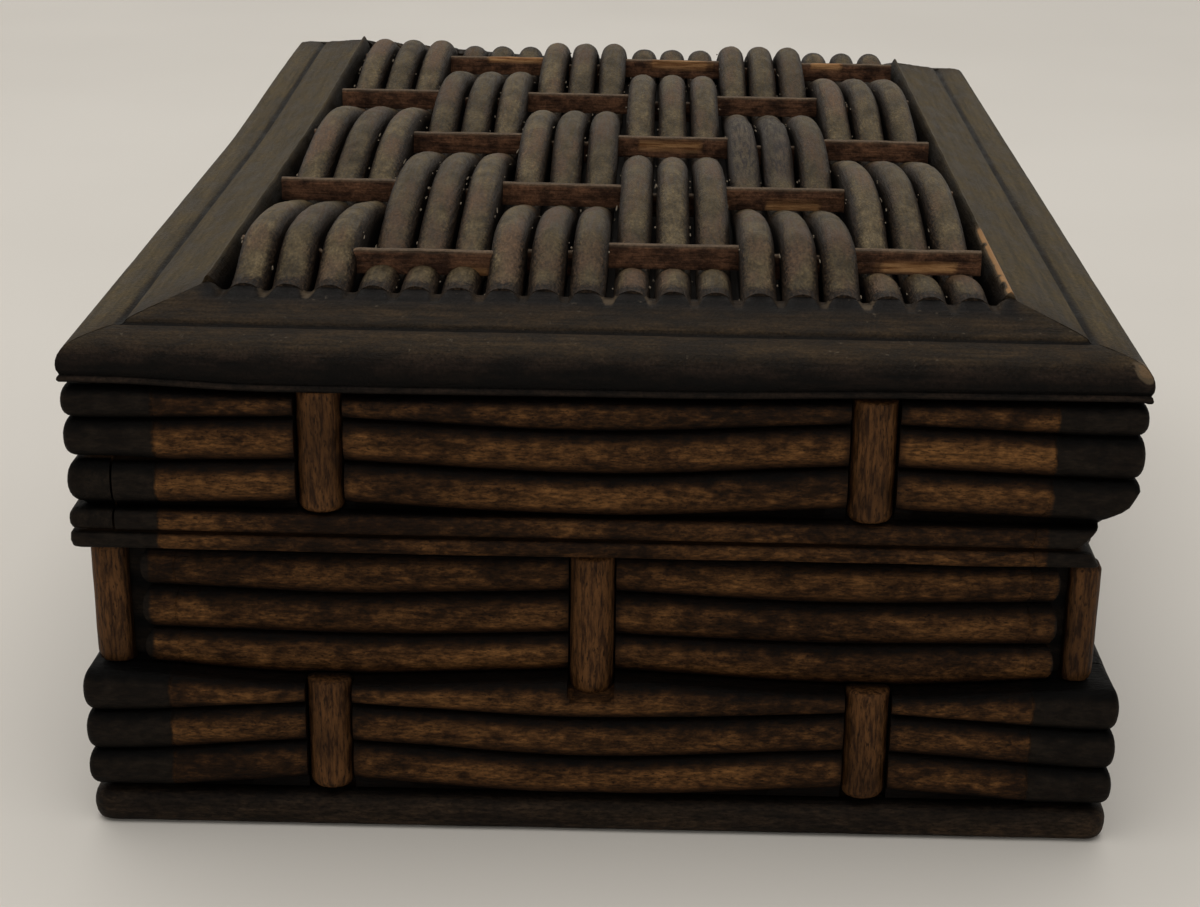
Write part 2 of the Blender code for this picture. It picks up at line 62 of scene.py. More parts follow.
# ---------------------------------------------------------------- sizes read from the frame
HALF_W = edge("body_front_wall", HIGH, X)
HALF_D = -edge("body_front_wall", LOW, Y)
INNER_Y = -edge("body_front_wall", HIGH, Y)
SEAM_Y = edge("body_left_wall", HIGH, Y)
WALL = HALF_D - INNER_Y
BASE_TOP = edge("base_board", HIGH, Z)
BODY_BOTTOM = edge("body_front_wall", LOW, Z)
BODY_TOP = edge("body_front_wall", HIGH, Z)
LID_BOTTOM = edge("lid_right_wall", LOW, Z)
LID_TOP = edge("lid_front_wall", HIGH, Z)
KEY_TOP = edge("key_bar", HIGH, Z)
KEY_BACK = edge("key_bar", HIGH, X)
KEY_REACH = edge("key_bar", HIGH, Y)
LEFT_REEDS = KEY_TOP + 0.4
RUNNER_BOARD = (KEY_BACK + 0.3, edge("lid_left_wall", HIGH, X))
RECESS = HALF_D + edge("middle_post_front", LOW, Y)
WEAVE_Y = edge("strand_bundle_1", HIGH, Y)
COLUMN_PITCH = edge("strand_bundle_2", LOW, X) - edge("strand_bundle_1", LOW, X)
LATH_PITCH = edge("cross_lath_2", LOW, Y) - edge("cross_lath_1", LOW, Y)
LATH_LOW = edge("cross_lath_1", LOW, Z)
LATH_HIGH = edge("cross_lath_1", HIGH, Z)
WEAVE_TOP = edge("strand_bundle_1", HIGH, Z)
MOULDING_LOW = edge("moulding_front", LOW, Z)
BOARD_TOP = edge("lid_board", HIGH, Z)

# ---------------------------------------------------------------- sizes of the carving, in millimetres
SIDES = ("front", "back", "left", "right")
ENDS = ("front", "back")
REED_STEPS = 12
GROOVE = 1.35                   # depth of the grooves between the reeds
CORNER_RADIUS = 0.9
CORNER_SHARE = 0.62             # how much of a groove's depth shows round the corners
CORNER_FADE = 14.0              # how far from a corner its share has faded out
STEP = 0.6                      # between the columns of a carved wall
STAIN_X = 52.8                  # where the dark corners begin, across the short sides
STAIN_Y = 78.3                  # and along the long sides
MIDDLE_BAND = (21.2, 36.9)      # heights of the set-back band of reeds
POST_RADIUS = 2.75
LOW_POST_TOP = 20.3
MIDDLE_POST = (18.25, 36.9)     # heights of a middle post's ends
LID_POST_LOW = 42.3
HINGE_POST_LOW = 45.2           # lid posts on the hinge side end higher, clear of the tray
CORNER_LEG = 3.9                # how far a corner post reaches round each face
CORNER_FACE_X = HALF_W - RECESS + 0.5
CORNER_FACE_Y = HALF_D - RECESS + 0.3
RUNNER_NECK = (45.5, 47.3)      # heights of the groove's narrow part, which holds the key's runner
RUNNER_HEAD = (44.4, 48.4)      # and of its wide part
RUNNER_HEAD_X = (-56.7, -55.0)
KEY_TRAVEL = 13.3
HOOK_NECK_X = -58.6             # outer faces of the hook's pockets in the key bar
HOOK_TIP_X = -61.1
HOOK_HEIGHTS = (41.2, 43.3)     # room for the hook's bent tip
STRAND_HALF = 2.24
STRAND_THICK = 2.35
STRAND_PITCH = 5.1
STRAND_FOOT = 63.4              # the strands' flat backs reach down to here
FRAME_CREST = 66.5              # height of the strands' crests where they meet the mouldings
TROUGH = 65.5                   # and where they pass under a lath
WEAVE_X = 3 * COLUMN_PITCH
LATH_HALF = 0.62
LATH_SINK = 0.6                 # how far the laths reach down between the strands
LATH_DIP = 1.1                  # how much lower they lie under raised strands
LATH_SHIFT = 4.6                # how far the first lath is pushed forward in its second gap
WARP = 2.6                      # lift of the lid's rear left corner

# ---------------------------------------------------------------- colours
FRONT_STAIN = ((0.0105, 0.0048, 0.0020), (0.0430, 0.0186, 0.0064), (0.114, 0.0520, 0.0165))
BASE_STAIN = ((0.0095, 0.0066, 0.0048), (0.019, 0.0125, 0.0080), (0.038, 0.023, 0.0130))
CORNER_BLACK = ((0.0048, 0.0032, 0.0022), (0.0125, 0.0088, 0.0060))
BARE_WOOD = ((0.17, 0.088, 0.042), (0.26, 0.145, 0.072))
BOARD_WOOD = ((0.15, 0.078, 0.038), (0.25, 0.14, 0.07))
PORE = (0.004, 0.0022, 0.0014)
POST_WOOD = ((0.020, 0.0084, 0.0032), (0.086, 0.0380, 0.0130))
POST_PORE = (0.010, 0.0048, 0.0024)
NOSE_BLACK = ((0.0042, 0.0028, 0.0020), (0.0155, 0.0098, 0.0070))
FRONT_DUST = ((0.0120, 0.0074, 0.0034), (0.0330, 0.0210, 0.0105))
RAIL_DUST_AND_SHEEN = ((0.0370, 0.0260, 0.0108), (0.0740, 0.0540, 0.0245))
CUT_ENDS = ((0.0034, 0.0029, 0.0028), (0.0096, 0.0080, 0.0074))
DUST_SPECK = (0.125, 0.100, 0.070)
RUBBED_EDGE_AND_HIGHLIGHT = (0.088, 0.064, 0.040)
FRESH_CHIP = (0.36, 0.20, 0.09)
STRAND_BACK = ((0.041, 0.0295, 0.0145), (0.104, 0.078, 0.042))
STRAND_RUBBED = (0.080, 0.049, 0.029)
STRAND_FLANK_SHADE = ((0.0055, 0.0032, 0.0018), (0.030, 0.018, 0.010))
STRAND_TORN = (0.030, 0.024, 0.022)
STRAND_LINT = (0.15, 0.12, 0.085)
LATH_FACE = ((0.028, 0.0125, 0.0070), (0.118, 0.056, 0.030))
LATH_EDGE = (0.110, 0.078, 0.050)
LATH_CHIP = ((0.16, 0.066, 0.022), (0.42, 0.23, 0.10))
UNDER_WEAVE_SHADE = (0.0060, 0.0036, 0.0022)
OLD_STEEL = ((0.105, 0.098, 0.092), (0.060, 0.036, 0.024))
LINT = ((0.09, 0.072, 0.052), (0.24, 0.20, 0.15))
FLOOR = ((0.69, 0.665, 0.625), (0.74, 0.715, 0.675))


def wobble(seed, *place):
    """Smooth noise from -1 to 1."""
    a, b = (place + (0.0,))[:2]
    return noise.noise(Vector((a, b, seed * 7.31)))


def smooth(low, high, value):
    """Rises softly from 0 at low to 1 at high."""
    t = min(1.0, max(0.0, (value - low) / (high - low)))
    return t * t * (3 - 2 * t)


def wave(along, knots):
    """Smooth curve through (place, value) knots, flat at each knot."""
    if along <= knots[0][0]:
        return knots[0][1]
    for (a, low), (b, high) in zip(knots, knots[1:]):
        if along <= b:
            return low + (high - low) * (1 - math.cos(math.pi * (along - a) / (b - a))) / 2
    return knots[-1][1]


def spread(start, end, step):
    """Even places from start to end, about a step apart."""
    count = max(1, round((end - start) / step))
    return [start + (end - start) * i / count for i in range(count + 1)]


def arc(centre, radius, start, end, steps):
    """Points on an arc between two angles in degrees."""
    angles = [math.radians(start + (end - start) * i / steps) for i in range(steps + 1)]
    return [(centre[0] + radius * math.cos(a), centre[1] + radius * math.sin(a)) for a in angles]


# ---------------------------------------------------------------- making meshes
# A point is (x, y, z, crest, tone, inside), and zeros may be left out at its end. The last three are painted
# on the mesh: crest is 0 in a groove and 1 on a crest, tone is a piece's own shade, inside is bare wood.
# The finishes darken colour where crest is low: painted shade in grooves, creases, seats and the gaps between
# parts.
PAINT = ("crest", "tone", "inside")


def add_piece(name, points, faces, body, finish, node=None, angle=55, boxes=()):
    """Closed mesh from points in millimetres, less the boxes cut out of it."""
    mesh = bpy.data.meshes.new(name)
    mesh.from_pydata([[value / MM for value in point[:3]] for point in points], [], faces)
    for index, key in enumerate(PAINT, 3):
        layer = mesh.attributes.new(key, "FLOAT", "POINT")
        layer.data.foreach_set("value", [point[index] if index < len(point) else 0.0 for point in points])
    edit = bmesh.new()
    edit.from_mesh(mesh)
    bmesh.ops.recalc_face_normals(edit, faces=edit.faces)
    edit.to_mesh(mesh)
    edit.free()
    piece = bpy.data.objects.new(name, mesh)
    bpy.context.scene.collection.objects.link(piece)
    cut_boxes(piece, boxes)
    piece.data.shade_smooth()
    piece.data.set_sharp_from_angle(angle=math.radians(angle))
    piece.data.materials.append(finish)
    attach(piece, body)
    if node:
        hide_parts(node)


def cut_boxes(piece, boxes):
    """Takes boxes, each given by two corners in millimetres, out of a piece."""
    for low, high in boxes:
        verts = [(x / MM, y / MM, z / MM) for x in (low[0], high[0]) for y in (low[1], high[1])
                 for z in (low[2], high[2])]
        faces = [(0, 1, 3, 2), (4, 6, 7, 5), (0, 4, 5, 1), (2, 3, 7, 6), (0, 2, 6, 4), (1, 5, 7, 3)]
        mesh = bpy.data.meshes.new("cutter")
        mesh.from_pydata(verts, [], faces)
        cutter = bpy.data.objects.new("cutter", mesh)
        bpy.context.scene.collection.objects.link(cutter)
        modifier = piece.modifiers.new("cut", "BOOLEAN")
        modifier.operation = "DIFFERENCE"
        modifier.solver = "EXACT"
        modifier.object = cutter
        bpy.context.view_layer.update()
        with_cut = piece.evaluated_get(bpy.context.evaluated_depsgraph_get())
        piece.data = bpy.data.meshes.new_from_object(with_cut)
        piece.modifiers.clear()
        bpy.data.objects.remove(cutter)


def ring_faces(count, size, first=0):
    """Faces between rings of points that follow each other, and over the two ends."""
    faces = []
    for row in range(first, first + (count - 1) * size, size):
        for i in range(size):
            j = (i + 1) % size
            faces.append((row + i, row + size + i, row + size + j, row + j))
    last = first + (count - 1) * size
    return faces + [tuple(range(first, first + size)), tuple(range(last + size - 1, last - 1, -1))]


def tube(name, rings, body, finish, node, angle=55, boxes=()):
    """Skin over rings of points, with flat ends."""
    points = [point for ring in rings for point in ring]
    add_piece(name, points, ring_faces(len(rings), len(rings[0])), body, finish, node, angle, boxes)


def relief(name, columns, body, grain, node, boxes=()):
    """Solid with a carved outer face. Each column has its carved points, from low to high, and the (x, y)
    of its plain inner face."""
    rings = [carved + [(*inner, carved[-1][2], 0.6, 0.0, 1.0), (*inner, carved[0][2], 0.6, 0.0, 1.0)]
             for carved, inner in columns]
    tube(name, rings, body, carved_look[grain], node, boxes=boxes)


# ---------------------------------------------------------------- finishes
class Finish:
    """A wood or metal finish: short names for adding nodes to its tree."""

    def __init__(self, name):
        self.material = bpy.data.materials.new(name)
        self.material.use_nodes = True
        self.tree = self.material.node_tree
        self.shader = self.tree.nodes["Principled BSDF"]
        self.place = self.node("ShaderNodeTexCoord").outputs["Object"]

    def node(self, kind, inputs=None, **settings):
        made = self.tree.nodes.new(kind)
        for key, value in settings.items():
            setattr(made, key, value)
        for key, value in (inputs or {}).items():
            if isinstance(value, bpy.types.NodeSocket):
                self.tree.links.new(value, made.inputs[key])
            else:
                made.inputs[key].default_value = value
        return made

    def math(self, operation, a, b=0.0):
        return self.node("ShaderNodeMath", {0: a, 1: b}, operation=operation).outputs[0]

    def times(self, a, b):
        return self.math("MULTIPLY", a, b)

    def plus(self, a, b):
        return self.math("ADD", a, b)

    def noise(self, scales, detail=4.0, rough=0.55, shift=0.0):
        """Noise with its own scale along each axis, in waves per millimetre."""
        mapped = self.node("ShaderNodeMapping", {"Vector": self.place, "Scale": [s * MM for s in scales],
                                                 "Location": (shift, shift, shift)})
        made = self.node("ShaderNodeTexNoise", {"Vector": mapped.outputs[0], "Scale": 1.0, "Detail": detail,
                                                "Roughness": rough})
        return made.outputs[0]

    def ramp(self, value, low, high, start=0.0, end=1.0):
        return self.node("ShaderNodeMapRange", {"Value": value, "From Min": low, "From Max": high,
                                                "To Min": start, "To Max": end},
                         interpolation_type="SMOOTHSTEP").outputs[0]

    def paint(self, name):
        return self.node("ShaderNodeAttribute", attribute_name=name).outputs["Fac"]

    def mix(self, factor, a, b, blend="MIX"):
        made = self.node("ShaderNodeMix", data_type="RGBA", blend_type=blend)
        for index, value in ((0, factor), (6, a), (7, b)):
            if isinstance(value, bpy.types.NodeSocket):
                self.tree.links.new(value, made.inputs[index])
            else:
                made.inputs[index].default_value = (*value, 1.0) if index else value
        return made.outputs[2]

    def darken(self, colour, factor):
        """Colour times a grey factor."""
        grey = self.node("ShaderNodeCombineColor", {"Red": factor, "Green": factor, "Blue": factor})
        return self.mix(1.0, colour, grey.outputs[0], "MULTIPLY")

    def shade(self, colour, value, low, high, start, end):
        """Colour times a factor that follows a value."""
        return self.darken(colour, self.ramp(value, low, high, start, end))

    def blend(self, value, low, high, colours):
        """From the first colour to the second as a value rises."""
        return self.mix(self.ramp(value, low, high), *colours)

    def axis(self, index):
        return self.node("ShaderNodeSeparateXYZ", {0: self.place}).outputs[index]

    def away(self, index):
        """Distance from the middle along an axis."""
        return self.math("ABSOLUTE", self.axis(index))

    def surface(self, colour, roughness, bumps=(), metallic=0.0, specular=0.14):
        """Joins the colour, roughness and (height, distance in mm, strength) bumps to the shader."""
        self.tree.links.new(colour, self.shader.inputs["Base Color"])
        if isinstance(roughness, bpy.types.NodeSocket):
            self.tree.links.new(roughness, self.shader.inputs["Roughness"])
        else:
            self.shader.inputs["Roughness"].default_value = roughness
        self.shader.inputs["Metallic"].default_value = metallic
        self.shader.inputs["Specular IOR Level"].default_value = specular
        normal = None
        for height, distance, strength in bumps:
            inputs = {"Height": height, "Distance": distance / MM, "Strength": strength}
            if normal is not None:
                inputs["Normal"] = normal
            normal = self.node("ShaderNodeBump", inputs).outputs[0]
        if normal is not None:
            self.tree.links.new(normal, self.shader.inputs["Normal"])
        return self.material


def stretched(grain, along, across):
    """Scales that are long in the grain's direction and fine in the other two."""
    return [along if axis == grain else across for axis in (X, Y, Z)]


def carved_finish(name, grain, stain, corners=True):
    """Stained and worn carving: grooves painted black as shade, mottled rubbed crests, black corners, open
    pores.
    """
    dark, mid, warm = stain
    f = Finish(name)
    crest = f.paint("crest")
    tone = f.paint("tone")
    patches = f.noise(stretched(grain, 0.040, 0.13), 3.0, 0.6, 3.1)
    blotches = f.noise(stretched(grain, 0.34, 0.62), 5.0, 0.72, 11.0)
    flecks = f.noise(stretched(grain, 0.85, 2.7), 4.0, 0.7, 8.0)
    streaks = f.noise(stretched(grain, 0.17, 2.3), 4.0, 0.6, 5.0)
    pores = f.noise(stretched(grain, 1.5, 4.4), 2.0, 0.6, 2.0)
    wear = f.plus(f.times(patches, 0.52), f.times(blotches, 0.48))
    wear = f.plus(wear, f.times(tone, 0.042))
    brown = f.mix(f.ramp(wear, 0.38, 0.55), dark, mid)
    lit = f.times(f.ramp(wear, 0.46, 0.63), f.ramp(crest, 0.35, 1.0))
    colour = f.mix(lit, brown, warm)
    colour = f.shade(colour, flecks, 0.30, 0.70, 0.42, 1.62)
    colour = f.shade(colour, streaks, 0.25, 0.75, 0.72, 1.26)
    colour = f.mix(f.ramp(pores, 0.58, 0.72, 0.0, 0.8), colour, PORE)
    if corners:
        jitter = f.times(f.math("SUBTRACT", f.noise((0.5, 0.5, 0.5), 2.0), 0.5), 0.9 / MM)
        low, high = MIDDLE_BAND
        middle_band = f.times(f.ramp(f.axis(Z), (low - 0.4) / MM, (low + 0.1) / MM),
                              f.ramp(f.axis(Z), (high - 0.5) / MM, high / MM, 1.0, 0.0))
        far_x = f.plus(f.away(X), jitter)
        far_x = f.math("SUBTRACT", far_x, f.times(middle_band, 2.2 / MM))
        far_y = f.plus(f.away(Y), jitter)
        corner = f.times(f.ramp(far_x, (STAIN_X - 0.25) / MM, (STAIN_X + 0.25) / MM),
                         f.ramp(far_y, (STAIN_Y - 0.25) / MM, (STAIN_Y + 0.25) / MM))
        black = f.blend(blotches, 0.35, 0.7, CORNER_BLACK)
        black = f.shade(black, flecks, 0.3, 0.7, 0.6, 1.5)
        colour = f.mix(corner, colour, black)
    # Painted shade: the colour goes towards black where the crest paint is low, in grooves, seats and at
    # edges.
    colour = f.shade(colour, crest, 0.0, 0.8, 0.05, 1.0)
    inside = f.blend(streaks, 0.3, 0.7, BARE_WOOD)
    colour = f.mix(f.paint("inside"), colour, inside)
    rough = f.ramp(flecks, 0.2, 0.8, 0.48, 0.74)
    return f.surface(colour, rough, [(flecks, 0.16, 0.7), (streaks, 0.12, 0.5), (pores, 0.10, 0.6)],
                     specular=0.07)


def post_finish(name):
    """Plain brown dowel: long dark pores along the grain, lighter on its crest and painted darker towards its
    sides and ends as shade on the round.
    """
    f = Finish(name)
    crest = f.paint("crest")
    streaks = f.noise(stretched(Z, 0.30, 1.9), 5.0, 0.66, 4.0)
    pores = f.noise(stretched(Z, 0.9, 3.6), 3.0, 0.6, 9.0)
    patches = f.noise((0.12, 0.12, 0.09), 3.0, 0.5, 1.0)
    colour = f.blend(streaks, 0.36, 0.62, POST_WOOD)
    colour = f.shade(colour, patches, 0.3, 0.7, 0.65, 1.25)
    colour = f.mix(f.ramp(pores, 0.54, 0.68, 0.0, 0.85), colour, POST_PORE)
    # Painted shade: darker where the crest paint falls away, on the post's sides and ends.
    colour = f.shade(colour, crest, 0.0, 0.95, 0.10, 1.05)
    return f.surface(colour, f.ramp(streaks, 0.3, 0.7, 0.45, 0.66),
                     [(streaks, 0.16, 0.7), (pores, 0.14, 0.7)], specular=0.08)


def moulding_finish(name, grain):
    """Dark moulding: black below its nose, a dusty grey-brown top that is lighter on the side rails as
    painted sheen, rubbed edges with painted highlights, dark cut strand ends.
    """
    f = Finish(name)
    crest = f.paint("crest")
    dust = f.paint("inside")
    cut = f.paint("tone")
    streaks = f.noise(stretched(grain, 0.07, 1.5), 5.0, 0.62, 6.0)
    blotches = f.noise(stretched(grain, 0.16, 0.42), 5.0, 0.68, 2.0)
    grit = f.noise((2.4, 2.4, 2.4), 3.0, 0.7, 7.0)
    dark = f.blend(blotches, 0.38, 0.62, NOSE_BLACK)
    # Dust and painted sheen: past the mitres the side rails take lighter colours, which paint in the sheen
    # they catch at a grazing angle.
    past_mitre = f.math("SUBTRACT", f.away(X), f.away(Y))
    past_mitre = f.plus(past_mitre, (HALF_D - HALF_W) / MM)
    rail = f.ramp(past_mitre, -5.0 / MM, 12.0 / MM)
    mottle = f.ramp(blotches, 0.35, 0.68)
    dusty = f.mix(rail, f.mix(mottle, *FRONT_DUST), f.mix(mottle, *RAIL_DUST_AND_SHEEN))
    colour = f.mix(dust, dark, dusty)
    colour = f.mix(cut, colour, f.blend(blotches, 0.4, 0.65, CUT_ENDS))
    colour = f.shade(colour, streaks, 0.25, 0.75, 0.62, 1.38)
    colour = f.shade(colour, grit, 0.3, 0.7, 0.60, 1.42)
    specks = f.noise((1.0, 1.0, 1.0), 3.0, 0.6, 14.0)
    colour = f.mix(f.times(dust, f.ramp(specks, 0.66, 0.74, 0.0, 0.5)), colour, DUST_SPECK)
    # Wear and painted highlight: crest paint from 1.2 lightens the bead's edges and the step's ridge.
    colour = f.mix(f.ramp(crest, 1.2, 2.0), colour, RUBBED_EDGE_AND_HIGHLIGHT)
    colour = f.mix(f.ramp(crest, 2.2, 3.0), colour, FRESH_CHIP)
    # Painted shade: low crest paint darkens the step line, the grooves and the lip's inner face.
    colour = f.shade(colour, crest, 0.0, 0.8, 0.12, 1.0)
    return f.surface(colour, f.ramp(blotches, 0.3, 0.7, 0.46, 0.64),
                     [(streaks, 0.16, 0.7), (grit, 0.22, 0.9)], specular=0.08)


def strand_finish():
    """Half-round strand: dusty grey-brown back, rough flanks painted dark as shade on the round, lint caught
    low down.
    """
    f = Finish("strand_wood_look")
    crest = f.paint("crest")
    tone = f.paint("tone")
    torn = f.paint("inside")
    streaks = f.noise((2.4, 0.16, 2.4), 5.0, 0.66, 1.0)
    blotches = f.noise((0.34, 0.20, 0.34), 4.0, 0.66, 5.0)
    grit = f.noise((2.6, 1.8, 2.6), 4.0, 0.72, 2.0)
    back = f.blend(blotches, 0.32, 0.68, STRAND_BACK)
    rubbed = f.noise((0.16, 0.055, 0.16), 3.0, 0.6, 9.0)
    back = f.mix(f.ramp(rubbed, 0.46, 0.66), back, STRAND_RUBBED)
    back = f.shade(back, tone, -1.0, 1.0, 0.84, 1.24)
    # Painted shade: the flanks take a dark colour where the crest paint falls away, leaving a light band on
    # the back.
    flank = f.blend(grit, 0.38, 0.66, STRAND_FLANK_SHADE)
    shape = f.plus(crest, f.times(f.math("SUBTRACT", grit, 0.5), 0.55))
    colour = f.mix(f.ramp(shape, 0.44, 0.92), flank, back)
    colour = f.shade(colour, streaks, 0.25, 0.75, 0.62, 1.36)
    colour = f.shade(colour, grit, 0.3, 0.7, 0.66, 1.34)
    colour = f.mix(f.times(torn, f.ramp(streaks, 0.4, 0.6)), colour, STRAND_TORN)
    lint = f.times(f.ramp(grit, 0.58, 0.70), f.ramp(crest, 0.50, 0.10))
    colour = f.mix(f.times(lint, 0.40), colour, STRAND_LINT)
    # Painted shade: colour goes almost black at the strands' feet, in the gaps between them.
    colour = f.shade(colour, crest, -0.2, 0.30, 0.10, 1.0)
    return f.surface(colour, f.ramp(streaks, 0.3, 0.7, 0.46, 0.68),
                     [(streaks, 0.24, 0.8), (grit, 0.16, 0.7)], specular=0.14)


def lath_finish():
    """Thin red-brown lath with a paler worn top edge, a foot darkened as painted shade, and bare chips."""
    f = Finish("lath_wood_look")
    crest = f.paint("crest")
    bare = f.paint("inside")
    streaks = f.noise((0.16, 2.2, 2.6), 5.0, 0.66, 1.5)
    blotches = f.noise((0.34, 0.6, 0.6), 5.0, 0.7, 4.0)
    grit = f.noise((2.6, 2.6, 2.6), 3.0, 0.7, 6.0)
    colour = f.blend(blotches, 0.36, 0.64, LATH_FACE)
    colour = f.mix(f.ramp(crest, 0.5, 1.0, 0.0, 0.8), colour, LATH_EDGE)
    colour = f.shade(colour, streaks, 0.25, 0.75, 0.58, 1.42)
    colour = f.shade(colour, grit, 0.3, 0.7, 0.72, 1.28)
    colour = f.mix(bare, colour, f.blend(streaks, 0.35, 0.65, LATH_CHIP))
    # Painted shade: the lath darkens at its foot, where it sinks between the strands.
    colour = f.shade(colour, crest, 0.0, 0.3, 0.2, 1.0)
    return f.surface(colour, f.ramp(streaks, 0.3, 0.7, 0.5, 0.7), [(streaks, 0.22, 0.8), (grit, 0.14, 0.7)],
                     specular=0.12)


def board_finish(name):
    """Bare wood, painted dark on top as shade where it lies under the weave."""
    f = Finish(name)
    streaks = f.noise(stretched(Y, 0.05, 1.2), 5.0, 0.6, 2.0)
    blotches = f.noise((0.06, 0.06, 0.06), 3.0, 0.5, 6.0)
    colour = f.blend(streaks, 0.3, 0.7, BOARD_WOOD)
    colour = f.shade(colour, blotches, 0.3, 0.7, 0.8, 1.15)
    # Painted shade: the board's top, seen only through the gaps of the weave, is made almost black.
    top = f.ramp(f.axis(Z), (BOARD_TOP - 0.4) / MM, (BOARD_TOP - 0.1) / MM)
    colour = f.mix(top, colour, UNDER_WEAVE_SHADE)
    return f.surface(colour, f.ramp(streaks, 0.3, 0.7, 0.5, 0.68), [(streaks, 0.10, 0.5)])


def steel_finish():
    """Old bent wire: dull grey with brown rust spots."""
    f = Finish("steel_wire_look")
    scratches = f.noise((3.0, 0.6, 3.0), 4.0, 0.6)
    spots = f.noise((0.9, 0.9, 0.9), 4.0, 0.6, 3.0)
    colour = f.blend(spots, 0.40, 0.64, OLD_STEEL)
    return f.surface(colour, f.ramp(scratches, 0.3, 0.7, 0.28, 0.5), [(scratches, 0.02, 0.4)], metallic=1.0)


def lint_finish():
    """Grey dust and fibres."""
    f = Finish("lint_look")
    grey = f.noise((1.5, 1.5, 1.5), 2.0)
    colour = f.mix(grey, *LINT)
    return f.surface(colour, 0.9)


def floor_finish():
    """Pale, slightly clouded board."""
    f = Finish("floor_look")
    cloud = f.noise((0.004, 0.004, 0.004), 3.0)
    grain = f.noise((1.2, 1.2, 1.2), 3.0)
    colour = f.blend(cloud, 0.3, 0.7, FLOOR)
    return f.surface(colour, 0.55, [(grain, 0.02, 0.3)], specular=0.3)

carved_look = {X: carved_finish("carved_wood_across", X, FRONT_STAIN),
               Y: carved_finish("carved_wood_along", Y, FRONT_STAIN)}
base_look = carved_finish("base_wood_look", X, BASE_STAIN, corners=False)
post_look = post_finish("dowel_wood_look")
moulding_look = {X: moulding_finish("moulding_wood_across", X), Y: moulding_finish("moulding_wood_along", Y)}
strand_look = strand_finish()
lath_look = lath_finish()
inner_look = board_finish("inner_wood_look")
steel_look = steel_finish()
lint_look = lint_finish()


# ---------------------------------------------------------------- carved walls
# Posts' middles along each side; the front's are a little off the even spacing, as on a hand-made box.
POSTS_LOW = {"front": (-33.4, 32.7), "back": (-32.6, 32.6), "left": (-46.0, 46.0), "right": (-46.0, 46.0)}
POSTS_LID = {"front": (-33.5, 31.6), "back": (-32.6, 32.6), "left": (-46.0, 46.0), "right": (-46.0, 46.0)}
POST_MIDDLE = {"front": -1.3, "back": 0.0, "left": 0.0, "right": 0.0}
LID_ENDS = {"front": (0.3, 0.5), "back": (0.3, 0.5), "left": (0.3, 0.3), "right": (0.5, 0.5)}
# Grooves between the reeds, from the lowest up: height, and how far the wave lifts them
LOW_GROOVES = ((4.75, 1.75), (10.1, 1.65), (15.5, 1.4), (21.0, -1.4))
MIDDLE_GROOVES = ((25.15, 0.6), (30.55, 0.9), (36.15, 0.3))
LID_GROOVES = ((42.65, 1.35), (47.85, 1.45), (53.35, 1.35))
# How far the front moulding's lower edge hangs down: (place along it, how far)
FRONT_DROOP = ((-60.0, 0.0), (-38.0, 0.7), (5.0, 0.5), (40.0, -0.1), (63.0, -0.25))
BODY_DIP = 0.45                 # how far the reeds dip where they pass behind a post
LID_DIP = 0.4
CHAMFER_X = 56.6                # foot of the slanted cut along the lid's hinge side
CHAMFER_SLOPE = 0.87
# Section of the narrow strip along the lid's lower edge: height, depth, crest (its low values paint shade
# into the grooves)
STRIP = ((0.0, 0.75, 0.1), (0.25, 0.3, 0.6), (0.7, 0.12, 0.95), (1.3, 0.08, 1.0), (1.9, 0.16, 0.8),
         (2.3, 0.4, 0.55), (2.55, 1.0, 0.12), (2.7, 2.1, 0.0))
STRIP_TOP = 2.75


def side_waves(side):
    """Knots of the waves that the reeds follow: low band, middle band and lid."""
    end = HALF_W if side in ENDS else SEAM_Y
    corner = end - 4.5 if side in ENDS else end + 4.0
    a, b = POSTS_LOW[side]
    c, d = POSTS_LID[side]
    m = POST_MIDDLE[side]
    first, second = LID_ENDS[side]
    low = [(-end, 0), (a, 1), (m, 0.15), (b, 1), (end, 0)]
    middle = [(-corner, 0.8), ((m - corner) / 2, 0), (m, 1), ((m + corner) / 2, 0), (corner, 0.8)]
    lid = [(-end, first), (c, 0.65 if side == "front" else 1.0), (m, 0), (d, 1), (end, second)]
    return low, middle, lid


WAVES = {side: side_waves(side) for side in SIDES}


def reed_rows(low, high, crest, tone, seed, along):
    """One half-round reed: rows of (z, depth, crest value, tone) from its lower to its upper groove."""
    gap = 0.05
    swell = 0.09 * wobble(seed, along * 0.05) + 0.06 * wobble(seed + 40, along * 0.35)
    rows = []
    for i in range(REED_STEPS + 1):
        t = (1 - math.cos(math.pi * i / REED_STEPS)) / 2
        bulge = (1 - abs(2 * t - 1) ** 2.4) ** 0.6
        rough = 0.05 * wobble(seed + 80, along * 0.8, t * 4)
        # Grime and painted shade: each reed's crest paint falls towards its upper groove and towards its
        # lower edge, so it is brightest a little below its middle.
        grime_and_shade = 1 - 0.92 * smooth(0.58, 0.97, t + rough * 2) - 0.50 * smooth(0.42, 0.05, t)
        z = low + gap + (high - low - 2 * gap) * t
        depth = crest + 0.15 + (swell + rough) * bulge + GROOVE * (1 - bulge)
        rows.append((z, depth, bulge * grime_and_shade, tone))
    return rows


def near_posts(along, posts):
    """How far a reed dips towards the posts it passes behind: 0 far away, 1 at a post."""
    return max(math.exp(-(((along - p) / 5.0) ** 2)) for p in posts)


# Shades of the front's reeds: three low, three middle, rail, strip, then three of the lid from below
FRONT_TONES = (0.2, 0.3, 0.2, 0.3, 0.2, 0.1, -0.7, -1.1, 0.0, 1.4, -0.7)


def tone_of(side, number):
    """A reed's own shade: chosen on the front, drawn on the other sides."""
    if side == "front":
        return FRONT_TONES[number]
    return 2.0 * random.Random("%s%d" % (side, number)).random() - 1.0


